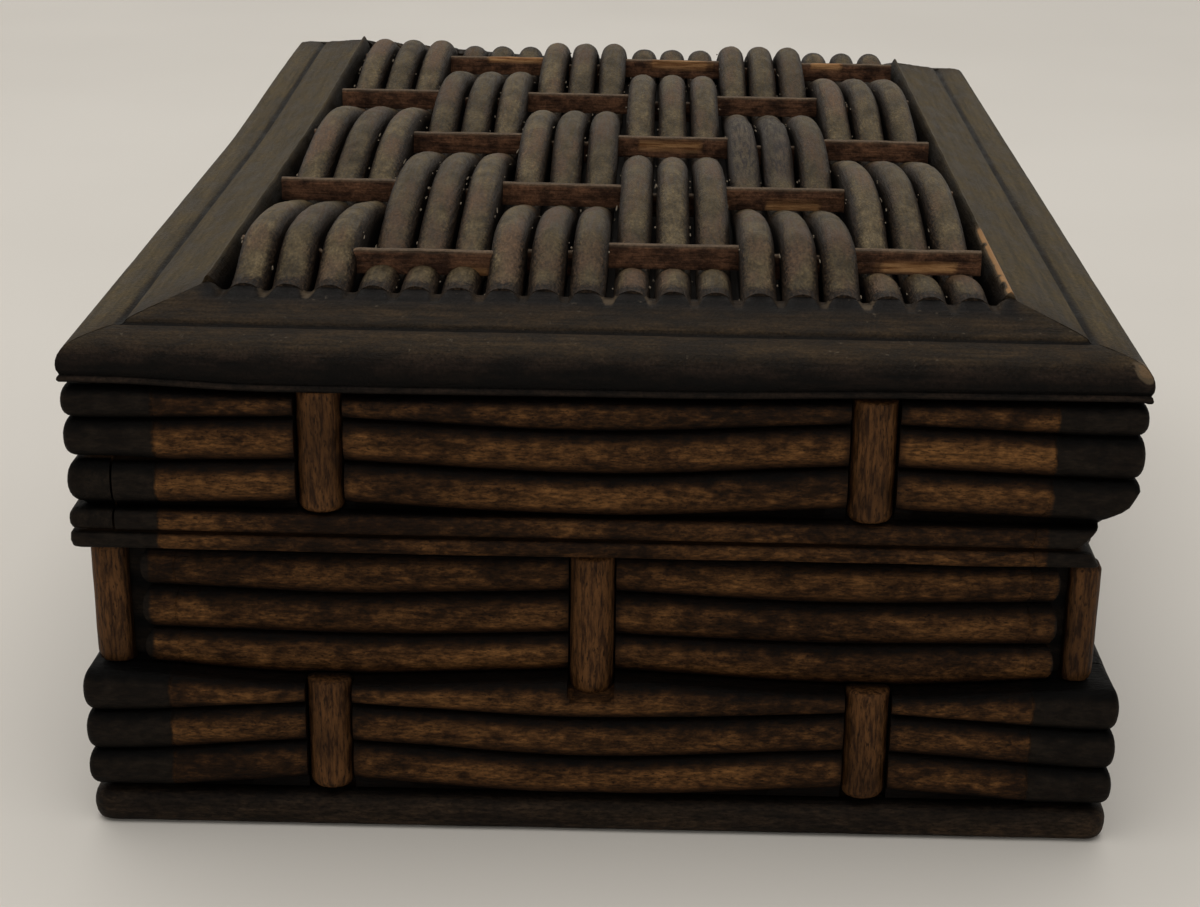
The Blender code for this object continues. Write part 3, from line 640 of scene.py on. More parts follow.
def body_rows(side, along, recessed_rail=False):
    """Three proud reeds, three set-back ones and the rail; on the hinge side the rail is set back too."""
    low = wave(along, WAVES[side][0])
    middle = wave(along, WAVES[side][1])
    dip_low = BODY_DIP * near_posts(along, POSTS_LOW[side])
    dip_middle = BODY_DIP * near_posts(along, (POST_MIDDLE[side],))
    bounds = [z + lift * low + 0.12 * wobble(i + 3, along * 0.07) for i, (z, lift) in enumerate(LOW_GROOVES)]
    bounds[0] = max(bounds[0], BODY_BOTTOM + 0.1)
    # The lowest row has no crest paint: painted shade where the wall meets the base.
    rows = [(BODY_BOTTOM, GROOVE + 0.5, 0.0, 0.0)]
    for i in range(3):
        rows += reed_rows(bounds[i], bounds[i + 1], dip_low, tone_of(side, i), i, along)
    bounds = bounds[3:] + [z + lift * middle + 0.10 * wobble(i + 9, along * 0.07)
                           for i, (z, lift) in enumerate(MIDDLE_GROOVES)]
    for i in range(3):
        rows += reed_rows(bounds[i], bounds[i + 1], RECESS - 0.2 + dip_middle, tone_of(side, i + 3), i + 5,
                          along)
    rail = BODY_TOP - 2.35 + 0.12 * wobble(20, along * 0.08)
    if recessed_rail:
        profile = [(rail - 0.25, 4.7), (rail, 4.25), (38.2, 4.2), (38.6, 4.35), (39.0, 4.8), (39.3, 5.3),
                   (BODY_TOP, 6.0)]
    else:
        profile = [(rail - 0.25, RECESS + 0.9), (rail, 1.9), (rail + 0.2, 0.9), (rail + 0.5, 0.35),
                   (rail + 1.2, 0.10), (39.2, 0.18), (BODY_TOP, 0.55)]
    # Crest paint of the rail: lowest in the groove under it, painted shade there.
    crests = (0.0, 0.05, 0.35, 0.7, 0.9, 0.75, 0.3)
    tone = tone_of(side, 6)
    rows += [(z, depth, c, tone) for (z, depth), c in zip(profile, crests)]
    return rows


def strip_rows(side, along):
    """The narrow strip along the lid's lower edge."""
    lift = 0.06 * wobble(31, along * 0.06)
    tone = tone_of(side, 7)
    return [(LID_BOTTOM + up, depth + (lift if up else 0.0), c, tone) for up, depth, c in STRIP]


def chamfer(z):
    """Depth of the slanted cut along the hinge side's lower edge."""
    return HALF_W - CHAMFER_X - (z - LID_BOTTOM) * CHAMFER_SLOPE


def lid_groove(side, along, number):
    """Height of a groove of the lid, counted from the lowest as 0."""
    z, lift = LID_GROOVES[number]
    return z + lift * wave(along, WAVES[side][2])


def reed_seam(side, along):
    """Height of the groove between the lid's second and third reeds."""
    return lid_groove(side, along, 1)


def droop(side, along):
    """How far the front moulding's lower edge hangs down."""
    if side != "front":
        return 0.0
    return wave(along, FRONT_DROOP)


def lid_low_rows(side, along, top):
    """Strip and third reed, up to the seam under the second reed."""
    dip = LID_DIP * near_posts(along, POSTS_LID[side])
    bottom = lid_groove(side, along, 0) + 0.1 * wobble(14, along * 0.06)
    reed = reed_rows(max(bottom, LID_BOTTOM + STRIP_TOP), top, dip, tone_of(side, 8), 12, along)
    return strip_rows(side, along) + reed


def lid_high_rows(side, along, bottom):
    """Second and first reeds, up to the moulding."""
    dip = LID_DIP * near_posts(along, POSTS_LID[side])
    between = lid_groove(side, along, 2) + 0.1 * wobble(17, along * 0.06)
    rows = reed_rows(bottom, between, dip, tone_of(side, 9), 13, along)
    return rows + reed_rows(between, LID_TOP - 0.05 - droop(side, along), dip, tone_of(side, 10), 14, along)


def stops(start, end, seats, stain):
    """Places of the columns along a side: even steps, and close pairs at seats and stain lines."""
    places = spread(start, end, STEP)
    edges = [seat[:2] for seat in seats] + [(hand * stain, half) for half in (0.3, 0.02) for hand in (-1, 1)]
    for middle, half in edges:
        sharp = (middle - half - 0.02, middle - half + 0.02, middle + half - 0.02, middle + half + 0.02)
        places = [p for p in places if all(abs(p - s) > 0.15 for s in sharp)]
        places += [s for s in sharp if start < s < end]
    return sorted(places)


def seam_depth(along, stain):
    """Fine joint where the dark corner block meets the rest."""
    return 0.13 * max(0.0, 1 - abs(abs(along) - stain) / 0.25)


def seated(rows, along, seats):
    """Sinks the rows that lie behind a post into its seat, and paints shade in the seat and just beside the
    post: (middle, half width, low, high, depth, foot).
    """
    out = []
    for z, depth, crest, tone in rows:
        # Painted shade: the crest paint drops inside a seat and close beside the post.
        for middle, half, low, high, bottom, foot in seats:
            risen = min(1.0, max(0.0, (z - low) / foot))
            if abs(along - middle) < half * math.sqrt(1 - (1 - risen) ** 2) and low < z < high:
                depth = max(depth, bottom * risen)
                crest *= 1 - smooth(0.4, 1.0, risen)
            elif abs(along - middle) < half + 1.3 and low + foot < z < high:
                crest *= 0.45 + 0.55 * (abs(along - middle) - half) / 1.3
        out.append((z, depth, crest, tone))
    return out


def end_columns(side, start_x, rows_of, seats):
    """Columns of a front or back wall, from start_x round the right corner, and round the left one if it
    starts there. rows_of(along, across) gives the rows; across asks for the neighbouring side's depths."""
    facing = -1 if side == "front" else 1
    r = CORNER_RADIUS
    columns = []

    def column(x, y, share_x, share_y, inner_x, along):
        here = seated(rows_of(along, False), along, seats)
        there = seated(rows_of(along, True), along, seats)
        joint = seam_depth(along, STAIN_X)
        carved = []
        for (z, depth, crest, tone), (_, depth_x, _, _) in zip(here, there):
            deep = smooth(2.0, 3.6, depth_x)
            share = share_x + (min(1.0, share_x / CORNER_SHARE) - share_x) * deep
            shift_x = -math.copysign(1.0, x) * share * depth_x
            carved.append((x + shift_x, y - facing * share_y * (depth + joint), z, crest, tone))
        columns.append((carved, (inner_x, facing * INNER_Y)))

    def corner(hand):
        """Return along the end face, and the rounded corner, from the inner end outwards."""
        parts = []
        for y in spread(INNER_Y, HALF_D - r, 1.0):
            part = (y - INNER_Y) / (HALF_D - r - INNER_Y)
            share = 1 - (1 - CORNER_SHARE) * part
            parts.append((hand * HALF_W, facing * y, share, part, hand * (HALF_W - 7.4 - part)))
        for i, (x, y) in enumerate(arc((HALF_W - r, HALF_D - r), r, 15, 75, 4), 1):
            parts.append((hand * x, facing * y, CORNER_SHARE, 1.0, hand * (HALF_W - 8.4 - 0.2 * i)))
        return parts

    left_end = start_x < -HALF_W + 1
    if left_end:
        for part in corner(-1):
            column(*part, -HALF_W)
    first = -HALF_W + r if left_end else start_x
    last = HALF_W - r
    inner_first = -HALF_W + 9.8 if left_end else start_x
    for x in stops(first, last, seats, STAIN_X):
        near = (last - abs(x)) / CORNER_FADE
        share = 0.0 if (x < 0 and not left_end) else CORNER_SHARE * max(0.0, 1 - near)
        t = (x - first) / (last - first)
        column(x, facing * HALF_D, share, 1.0, inner_first + (HALF_W - 9.8 - inner_first) * t, x)
    for part in reversed(corner(1)):
        column(*part, HALF_W)
    return columns


def side_columns(side, rows_of, seats):
    """Columns of a left or right wall, which stands between the front and the back."""
    hand = -1 if side == "left" else 1
    columns = []
    for along in stops(-SEAM_Y, SEAM_Y, seats, STAIN_Y):
        joint = seam_depth(along, STAIN_Y)
        carved = [(hand * (HALF_W - depth - joint), along, z, crest, tone)
                  for z, depth, crest, tone in seated(rows_of(along), along, seats)]
        columns.append((carved, (hand * (HALF_W - WALL), along)))
    return columns


def body_seats(side):
    """Seats of the tray's posts: middle, half width, lower and upper end, depth, height of rounded foot."""
    half = POST_RADIUS + 0.12
    low, high = MIDDLE_POST
    seats = [(p, half, BODY_BOTTOM - 1, LOW_POST_TOP + 0.1, POST_RADIUS + 0.4, 0.5) for p in POSTS_LOW[side]]
    return seats + [(POST_MIDDLE[side], half, low + 0.15, high + 0.1, RECESS + POST_RADIUS - 0.6, 1.0)]


def lid_seats(side):
    """Seats of the lid's posts, in the same order of values."""
    half = POST_RADIUS + 0.15
    return [(p, half, LID_POST_LOW - 0.3, LID_TOP + 1, POST_RADIUS + 0.4, 0.7) for p in POSTS_LID[side]]


def corner_edge(along):
    """Distance from the middle at which the middle band sinks behind a corner post."""
    return CORNER_FACE_X - CORNER_LEG + (0.7 if along < 0 else -0.1)


def corner_seated(rows, along, across):
    """Sinks the middle band behind a corner post, no deeper than the post's back."""
    if abs(along) <= corner_edge(along):
        return rows
    low, high = MIDDLE_BAND
    sink = RECESS + (2.4 if not across else 1.5 if along < 0 else 3.0)
    return [(z, max(depth, sink) if low < z < high else depth, crest, tone) for z, depth, crest, tone in rows]


def ear_slots():
    """Slots in the tray's right wall that the lid's ears turn in."""
    boxes = []
    for node in ("hinge_ear_front", "hinge_ear_back"):
        low, high = edge(node, LOW, Y) - 1.2, edge(node, HIGH, Y) + 1.2
        boxes.append(((HALF_W - WALL - 1, low, 33.0), (HALF_W + 1, high, BODY_TOP + 1)))
    return boxes


def body_walls():
    """The tray's four walls."""
    for side in ENDS:
        def rows(along, across, side=side):
            return corner_seated(body_rows(side, along, across and along > 0), along, across)

        seats = body_seats(side) + [(hand * corner_edge(hand), 0.02, 0, 0, 0, 1) for hand in (-1, 1)]
        relief("body_%s_carving" % side, end_columns(side, -HALF_W, rows, seats), "tray", X,
               "body_%s_wall" % side)
    for side, boxes in (("left", ()), ("right", ear_slots())):
        def rows(along, side=side):
            return body_rows(side, along, side == "right")

        relief("body_%s_carving" % side, side_columns(side, rows, body_seats(side)), "tray", Y,
               "body_%s_wall" % side, boxes)


def chamfered(rows, wanted):
    """Cuts the rows back under the lid's hinge side."""
    if not wanted:
        return rows
    return [(z, max(depth, chamfer(z)), crest, tone) for z, depth, crest, tone in rows]


def lid_walls():
    """The lid's front, back and right walls. On the first two the key bar's courses start past the bar."""
    for side in ENDS:
        def low_rows(along, across, side=side):
            return chamfered(lid_low_rows(side, along, reed_seam(side, along)), across and along > 0)

        def high_rows(along, across, side=side):
            """Above the key bar the second reed ends a little higher than its own wave."""
            seam = reed_seam(side, along) + 0.08
            seam += (LEFT_REEDS - seam) * smooth(-48.0, RUNNER_BOARD[0], along)
            return lid_high_rows(side, along, seam)

        for course, start, rows in (("low", RUNNER_BOARD[0], low_rows), ("high", -HALF_W, high_rows)):
            relief("lid_%s_%s_carving" % (side, course),
                   end_columns(side, start, rows, lid_seats(side)), "lid", X, "lid_%s_wall" % side)

    def right_rows(along):
        seam = reed_seam("right", along)
        return chamfered(lid_low_rows("right", along, seam) + lid_high_rows("right", along, seam), True)

    relief("lid_right_carving", side_columns("right", right_rows, lid_seats("right")), "lid", Y,
           "lid_right_wall")


def hook_middles():
    """Places of the catch hooks along the key side."""
    return [(edge(node, LOW, Y) + edge(node, HIGH, Y)) / 2
            for node in ("catch_hook_front", "catch_hook_back")]


def lid_left_wall():
    """Upper two reeds of the key side, with the grooved board that the key bar slides along."""
    outer, inner = RUNNER_BOARD
    neck_low, neck_high = RUNNER_NECK
    head_low, head_high = RUNNER_HEAD
    near, far = RUNNER_HEAD_X
    plain = [(inner, LID_TOP), (inner, LID_BOTTOM), (outer, LID_BOTTOM), (outer, neck_low), (near, neck_low),
             (near, head_low), (far, head_low), (far, head_high), (near, head_high), (near, neck_high),
             (outer, neck_high), (outer, LEFT_REEDS)]
    rings = []
    seats = lid_seats("left")
    for along in stops(-SEAM_Y, SEAM_Y, seats, STAIN_Y):
        joint = seam_depth(along, STAIN_Y)
        rows = seated(lid_high_rows("left", along, LEFT_REEDS), along, seats)
        rings.append([(-HALF_W + depth + joint, along, z, crest, tone) for z, depth, crest, tone in rows]
                     + [(x, along, z, 0.6, 0.0, 1.0) for x, z in plain])
    boxes = [((HOOK_NECK_X + 0.1, y - 1.3, LID_BOTTOM - 1.0), (outer + 0.8, y + 1.3, HOOK_HEIGHTS[1] + 0.1))
             for y in hook_middles()]
    tube("lid_left_carving", rings, "lid", carved_look[Y], "lid_left_wall", boxes=boxes)


def key_bar():
    """Sliding bar: the strip and the third reed, carved round both of its ends."""
    r = CORNER_RADIUS
    reach = KEY_REACH + 0.1
    columns = []
    seats = lid_seats("left")

    def column(x, y, share_x, share_y, inner, along):
        rows = seated(lid_low_rows("left", along, KEY_TOP), along, seats)
        joint = seam_depth(along, STAIN_Y)
        carved = [(x + share_x * (depth + joint), y - math.copysign(1.0, y) * share_y * depth, z, crest, tone)
                  for z, depth, crest, tone in rows]
        columns.append((carved, inner))

    def end(hand):
        """From the bar's back, across its end, round the corner to its outer face."""
        parts = []
        for x in spread(KEY_BACK, -HALF_W + r, 0.6):
            part = (KEY_BACK - x) / (KEY_BACK + HALF_W - r)
            parts.append((x, hand * reach, CORNER_SHARE * part, 1.0, (KEY_BACK, hand * (reach - 2.6 - part))))
        for i, (y, x) in enumerate(arc((reach - r, HALF_W - r), r, 15, 75, 4), 1):
            parts.append((-x, hand * y, CORNER_SHARE + (1 - CORNER_SHARE) * i / 6, 1.0,
                          (KEY_BACK, hand * (reach - 3.8 - 0.3 * i))))
        return parts

    for part in end(-1):
        column(*part, -reach)
    for y in stops(-reach + r, reach - r, seats, STAIN_Y):
        near = (reach - r - abs(y)) / 10.0
        column(-HALF_W, y, 1.0, max(0.0, 1 - near), (KEY_BACK, y * (reach - 5.8) / (reach - r)), y)
    for part in reversed(end(1)):
        column(*part, reach)
    relief("key_bar_carving", columns, "key", Y, "key_bar", key_pockets())


def key_pockets():
    """Room in the bar for each hook: a neck, a wide head along the travel, and the way out at its end."""
    back = KEY_BACK + 0.2
    low = LID_BOTTOM - 1.0
    tip_low, tip_high = HOOK_HEIGHTS
    boxes = []
    for y in hook_middles():
        start, open_at, end_at = y - 1.4, y + KEY_TRAVEL - 1.9, y + KEY_TRAVEL + 1.9
        boxes.append(((HOOK_NECK_X, start, low), (back, open_at + 0.1, tip_low + 0.1)))
        boxes.append(((HOOK_TIP_X, start, tip_low), (back, open_at + 0.1, tip_high)))
        boxes.append(((HOOK_TIP_X, open_at, low), (back, end_at, tip_high)))
    return boxes


# ---------------------------------------------------------------- posts
def place(side, along, depth, z):
    """Point at a depth behind the face of a side."""
    if side in ENDS:
        return (along, (HALF_D - depth) * (-1 if side == "front" else 1), z)
    return ((HALF_W - depth) * (-1 if side == "left" else 1), along, z)


def half_round(name, side, along, crest, low, high, body, ends=(1.6, 0.6)):
    """Half-round post with rounded ends. ends are the heights of the rounding at the bottom and top."""
    segments = 16
    radius = POST_RADIUS
    length = high - low
    seed = along * 0.37 + crest
    stations = spread(0, ends[0], 0.25)[1:] + spread(ends[0], length - ends[1], 0.8)[1:]
    stations = [0.02] + stations + spread(length - ends[1], length, 0.2)[1:-1] + [length - 0.02]
    rings = []
    for up in stations:
        size = 1.0
        if up < ends[0]:
            size = math.sqrt(max(0.02, 1 - ((ends[0] - up) / ends[0]) ** 2))
        if up > length - ends[1]:
            size = math.sqrt(max(0.02, 1 - ((up - length + ends[1]) / ends[1]) ** 2))
        wide = radius * (0.62 + 0.38 * size)
        middle = along + 0.10 * wobble(seed, up * 0.05)
        ring = []
        for i in range(segments + 1):
            a = math.pi * i / segments
            rough = 1 + 0.018 * wobble(seed + 5, math.cos(a) * 2.2, up * 0.12)
            depth = crest + radius - math.sin(a) * radius * (0.35 + 0.65 * size) * min(1.0, rough)
            # Crest paint: highest on the post's front, lower towards its sides and rounded ends; the finish
            # paints this as shade.
            ring.append((*place(side, middle - math.cos(a) * wide * rough, depth, low + up),
                         math.sin(a) ** 0.7 * (0.5 + 0.5 * size)))
        for hand in (1, -1):
            ring.append(place(side, middle + hand * wide * 0.96, crest + radius + 0.25, low + up))
        rings.append(ring)
    tube(name + "_dowel", rings, body, post_look, name)


def posts():
    """Half-round posts of the tray and the lid, and the parts of them that travel with the key bar."""
    for side in SIDES:
        for number, along in enumerate(POSTS_LOW[side], 1):
            half_round("lower_post_%s_%d" % (side, number), side, along, 0.0, BODY_BOTTOM + 0.1,
                       LOW_POST_TOP, "tray", (1.7, 0.35))
        crest = RECESS - (0.0 if side == "right" else 1.5)
        half_round("middle_post_%s" % side, side, POST_MIDDLE[side], crest, *MIDDLE_POST, "tray", (1.5, 0.6))
        low, foot = {"left": (LEFT_REEDS + 0.05, 0.25), "right": (HINGE_POST_LOW, 1.6)}.get(
            side, (LID_POST_LOW, 1.2))
        for number, along in enumerate(POSTS_LID[side], 1):
            half_round("lid_post_%s_%d" % (side, number), side, along, 0.0, low, LID_TOP, "lid", (foot, 0.3))
    for name, along in zip(("key_post_front", "key_post_back"), POSTS_LID["left"]):
        half_round(name, "left", along, 0.0, LID_POST_LOW, KEY_TOP - 0.05, "key", (1.2, 0.25))


def corner_post(name, sign_x, sign_y):
    """Dowel with a quarter cut away, standing over a corner of the middle band."""
    radius = 2.1
    lobe = 1.3
    thick = 2.4
    face_x, face_y = CORNER_FACE_X, CORNER_FACE_Y
    end_x, end_y = face_x - CORNER_LEG, face_y - CORNER_LEG
    outline = arc((end_x + lobe, face_y - lobe), lobe, 180, 90, 4)
    outline += arc((face_x - radius, face_y - radius), radius, 90, 0, 8)
    outline += arc((face_x - lobe, end_y + lobe), lobe, 0, -90, 4)
    outer = len(outline)
    outline += [(face_x - thick, end_y), (face_x - thick, face_y - thick), (end_x, face_y - thick)]
    low = MIDDLE_BAND[0]
    top = 36.8 if sign_x < 0 else 36.4
    rings = []
    for z in spread(low, top, 0.7):
        end = max(0.0, 1 - (z - low) / 1.2, 1 - (top - z) / 0.8)
        ring = []
        for n, (x, y) in enumerate(outline):
            x += 0.7 + 0.6 * (x - end_x) / CORNER_LEG if sign_x < 0 else -0.5
            pull = 0.35 * end * end
            x, y = x - pull * (n > 8), y - pull * (y > face_y - 1)
            jiggle = abs(0.05 * wobble(n * 0.3, z * 0.12)) if n < outer else 0.0
            from_end = min(n, outer - 1 - n) if n < outer else 0
            # This crest paint is painted shade: the post darkens where its legs meet the wall and towards its
            # ends.
            wear = min(1.0, 0.25 + 0.2 * from_end) * (1 - 0.5 * end)
            ring.append((sign_x * (x - jiggle), sign_y * (y - jiggle), z, wear))
        rings.append(ring)
    tube(name + "_dowel", rings, "tray", post_look, name)


# ---------------------------------------------------------------- base board
def base_board():
    """Board with rounded edges and corners, worn and nicked along its lower edge."""
    # Share of the height, depth behind the face, wear; the low wear at the top and bottom is painted shade
    # where the board meets the walls and the floor
    profile = [(0.0, 1.5, 0.35), (0.04, 0.85, 0.6), (0.11, 0.4, 0.9), (0.24, 0.12, 1.0), (0.42, 0.0, 0.9),
               (0.61, 0.05, 0.85), (0.75, 0.25, 0.8), (0.85, 0.65, 0.7), (0.92, 1.2, 0.4), (1.0, 2.3, 0.1)]
    r = 2.6
    half_x, half_y = HALF_W - 0.05 - r, -edge("base_board", LOW, Y) - r
    corners = [(half_x, -half_y), (half_x, half_y), (-half_x, half_y), (-half_x, -half_y)]
    loop = []
    for i, (here, there) in enumerate(zip(corners, corners[1:] + corners[:1])):
        outward = arc((0, 0), r, 90 * i - 90, 90 * i, 6)
        loop += [(*here, *way) for way in outward]
        for t in spread(0, 1, 0.9 / math.dist(here, there))[1:-1]:
            loop.append((here[0] + (there[0] - here[0]) * t, here[1] + (there[1] - here[1]) * t,
                         *outward[-1]))
    rings = []
    for share, depth, crest in profile:
        z = share * BASE_TOP
        ring = []
        for x, y, out_x, out_y in loop:
            bump = 0.10 * abs(wobble(2, (x + y) * 0.11, z * 0.2))
            bump += 0.06 * abs(wobble(4, (x - y) * 0.6, z * 0.6))
            reach = (r - depth - bump) / r
            ring.append((x + out_x * reach, y + out_y * reach, z,
                         crest * (0.8 + 0.4 * wobble(8, (x + y) * 0.09, z))))
        rings.append(ring)
    rings.append([(x * 0.86, y * 0.90, BASE_TOP, 0.8, 0.0, 1.0) for x, y, _, _ in loop])
    tube("base_board_worn", rings, "tray", base_look, "base_board")


# ---------------------------------------------------------------- lid top
# Sections of the mouldings: depth behind the face, height, wear of the edge (low values paint shade into the
# grooves and onto the lip's inner face; values from 1.2 are wear and painted highlight), dust
NOSE = [(6.3, 0.0, 0.3, 0.0), (0.55, 0.0, 0.2, 0.0), (0.2, 0.12, 0.3, 0.0), (0.05, 0.32, 0.5, 0.0),
        (0.03, 0.50, 1.3, 0.15), (0.10, 0.70, 1.1, 0.05), (0.34, 0.92, 0.05, 0.0), (0.24, 1.2, 0.1, 0.0),
        (0.06, 1.6, 0.25, 0.0), (0.0, 2.2, 0.35, 0.0), (0.08, 2.8, 0.5, 0.0), (0.3, 3.4, 0.7, 0.05),
        (0.7, 4.0, 0.95, 0.3), (1.3, 4.5, 1.1, 0.8), (2.2, 4.85, 1.1, 1.0), (3.3, 5.12, 1.0, 1.0),
        (4.6, 5.33, 0.95, 0.9), (5.55, 5.44, 0.9, 0.85), (5.8, 5.36, 0.5, 0.5), (6.1, 5.26, 0.2, 0.3),
        (6.45, 5.24, 0.15, 0.3), (6.7, 5.38, 0.25, 0.4), (6.88, 5.7, 1.1, 0.9), (7.1, 5.84, 1.3, 0.9)]
SLOPE_END = [(7.4 + 0.4 * i, 5.98 + 0.12 * i, 0.95, 0.85 - 0.014 * i) for i in range(20)]
SLOPE_END += [(15.2, 3.6, 0.0, 0.0), (6.3, 3.6, 0.0, 0.0)]
LIP_END = [(8.0, 6.2, 0.9, 0.85), (9.5, 6.6, 0.9, 0.85), (11.0, 7.02, 0.9, 0.85), (12.4, 7.42, 0.9, 0.85),
           (13.6, 7.75, 0.95, 0.9), (14.3, 7.95, 0.9, 0.9), (14.5, 8.15, 1.4, 1.0), (14.75, 8.75, 1.7, 1.0),
           (15.0, 8.95, 1.3, 0.8), (15.3, 8.7, 0.55, 0.3), (15.7, 7.9, 0.35, 0.2), (16.2, 6.9, 0.25, 0.1),
           (16.4, 5.8, 0.05, 0.0), (16.4, 3.6, 0.0, 0.0), (6.3, 3.6, 0.0, 0.0)]


def strand_middles():
    """Middle of each of the strands across the box: (column, strand, x)."""
    for column in range(6):
        for strand in range(3):
            yield column, strand, (column - 2.5) * COLUMN_PITCH + (strand - 1) * STRAND_PITCH


def strand_round(along):
    """How far the half-round strands' backs have dropped below their crests, at a place across them."""
    near = min(abs(along - middle) for _, _, middle in strand_middles()) / (STRAND_PITCH / 2)
    near = min(near, max(0.0, 2 - near))
    return min(1.05, STRAND_THICK * (1 - math.sqrt(max(0.0, 1 - near ** 2))))


def bare_spot(x, y, z):
    """Where the stain has chipped off: along the right rail's lip near the front, and at the right corner."""
    ragged = 0.5 * wobble(12, y * 0.5, x * 0.8)
    lip = smooth(1.0, 0.5, abs(x - HALF_W + 14.9) + ragged)
    lip *= smooth(-76.5, -74.0, y) * smooth(-40.0, -46.0, y)
    lip *= smooth(MOULDING_LOW + 8.0, MOULDING_LOW + 8.4, z)
    rubbed = (HALF_W - 0.8, -HALF_D + 0.9, MOULDING_LOW + 4.2)
    corner = smooth(2.4, 1.2, math.dist((x, y, z), rubbed) + ragged)
    return max(lip, 0.8 * corner)


def moulding_point(side, along, depth, up, crest, dust):
    """Point of a moulding's section, worn and warped; at the ends it is cut down round the strands."""
    ends = side in ENDS
    z = MOULDING_LOW + up
    back = depth
    cut = 0.0
    if up < 1.5:
        z -= droop(side, along)
    if up > 1.4 and depth < 14.4:
        worn = 0.07 * wobble(depth * 0.4 + 3, along * 0.05) + 0.03 * wobble(9, along * 0.5, depth)
        z += worn if up > 4 else 0.0
        back += abs(worn) if depth < 1.0 else 0.0
    if ends and depth > 8 and up > 5:
        strand = FRAME_CREST - strand_round(along)
        notch = smooth(-0.05, 0.5, z - strand)
        inside_weave = smooth(WEAVE_X + 3.5, WEAVE_X + 1.5, abs(along))
        cut = inside_weave * smooth(9.6, 12.4, depth) * (1 - notch)
        dusty = smooth(-0.25, 0.45, wobble(21, along * 0.23))
        crest += (1.3 * dusty - 0.5) * smooth(0.0, 0.35, z - strand) * smooth(1.3, 0.7, z - strand)
        z = min(z, strand)
    if not ends and depth > 14.8:
        back += 0.12 * wobble(6, along * 0.25, depth)
    x, y, z = place(side, along, back, z)
    if up > 4:
        z += WARP * smooth(-5.0, -60.0, x) * smooth(0.0, HALF_D, y)
    return (x, y, z, max(crest, 3.0 * bare_spot(x, y, z)), cut, dust)


def moulding(side):
    """Mitred moulding: a nose bead, a fine step, and a slope that the strands' ends are trimmed to."""
    ends = side in ENDS
    section = NOSE + (SLOPE_END if ends else LIP_END)
    reach = (HALF_W if ends else HALF_D) - 0.1
    rings = [[moulding_point(side, t * (reach - depth), depth, up, crest, dust)
              for depth, up, crest, dust in section]
             for t in spread(-1, 1, (0.3 if ends else 0.5) / reach)]
    tube("moulding_%s_turned" % side, rings, "lid", moulding_look[X if ends else Y],
         "moulding_%s" % side, angle=50)


def strand_height(y, column):
    """Height of a strand's crest: over one lath, under the next, and bent down to the frame."""
    top = WEAVE_TOP - 0.12
    rise = top - TROUGH
    under = LATH_PITCH if column % 2 == 0 else 0.0
    away = abs((y - under + LATH_PITCH) % (2 * LATH_PITCH) - LATH_PITCH) / LATH_PITCH
    z = top - rise + rise * math.sin(math.pi / 2 * away) ** 1.05
    if y < 0:
        return z - (z - FRAME_CREST - 0.15) * smooth(-61.0, -75.5, y)
    return z - (z - FRAME_CREST - 1.2) * smooth(66.0, 77.5, y)


def strand(column, number, middle):
    """Bent half-round stick. The first two of the fifth column are torn along their crests."""
    reach = WEAVE_Y + 0.5
    steps = 14
    seed = column * 3 + number
    tone = 2 * random.Random(seed).random() - 1
    torn_column = column == 4 and number < 2
    rings = []
    for y in spread(-reach, reach, 0.6):
        end = reach - abs(y)
        crest_z = strand_height(y, column) + 0.12 * wobble(seed, y * 0.05) * smooth(0.0, 6.0, end)
        across = middle + 0.18 * wobble(seed + 30, y * 0.04) * smooth(0.0, 6.0, end)
        half = STRAND_HALF * (1 + 0.05 * wobble(seed + 60, y * 0.08))
        torn = smooth(24.0, 17.0, abs(y)) if torn_column else 0.0
        ring = []
        for i in range(steps + 1):
            a = math.pi * i / steps
            x = -math.cos(a)
            rise = math.sin(a) ** 0.92
            z = crest_z - STRAND_THICK * 0.95 * (1 - rise)
            z += 0.07 * wobble(seed + 90, x * 2.0, y * 0.45) + 0.04 * wobble(seed + 95, x * 6.0, y * 0.15)
            if torn:
                z -= torn * (0.35 + 0.75 * abs(wobble(seed + 8, x * 3.3, y * 0.03)) * rise)
            # Crest paint: high on the back and falling to the flanks, where the finish paints shade, and
            # lower towards the strand's ends, which darkens them; the feet below get -0.2, painted shade
            # between the strands.
            ring.append((across + x * half, y, min(z, WEAVE_TOP),
                         rise ** 1.3 * (1 - 0.6 * smooth(3.6, 0.4, end)), tone, torn))
        foot = min(crest_z - STRAND_THICK, STRAND_FOOT)
        ring += [(across + hand * half * 0.93, y, foot, -0.2, tone) for hand in (1, -1)]
        rings.append(ring)
    tube("strand_%d_%d" % (column + 1, number + 1), rings, "lid", strand_look,
         "strand_bundle_%d" % (column + 1), angle=60)


# Bare chips on the laths: lath, middle and half length along it, and height as a share of its face
CHIPS = ((1, 38.5, 5.5, 0.30), (2, 24.5, 4.0, 0.15), (3, 7.5, 5.0, 0.6), (5, -20.0, 5.5, 0.95),
         (1, -17.0, 2.0, 0.10), (5, 9.0, 6.0, 0.8), (5, 35.0, 3.0, 0.9))
# Section of a lath: place across it, height as a share, wear (the low wear at its foot is painted shade)
LATH_SECTION = ((-1, 0.0, 0.1), (-1, 0.18, 0.35), (-1, 0.38, 0.5), (-1, 0.62, 0.5), (-1, 0.85, 0.55),
                (-0.85, 0.97, 0.9), (-0.3, 1.0, 1.0), (0.4, 1.0, 1.0), (0.9, 0.96, 0.8), (1, 0.8, 0.4),
                (1, 0.2, 0.3), (0.9, 0.0, 0.1))


def chip_at(number, x):
    """How bare a lath is at a place along it, and the height of the chip there."""
    bare = 0.0
    share = 0.0
    for lath, middle, length, height in CHIPS:
        if lath == number and abs(x - middle) < length:
            bare = smooth(1.0, 0.75, abs(x - middle) / length + 0.15 * wobble(3, x * 0.9))
            share = height
    return bare, share


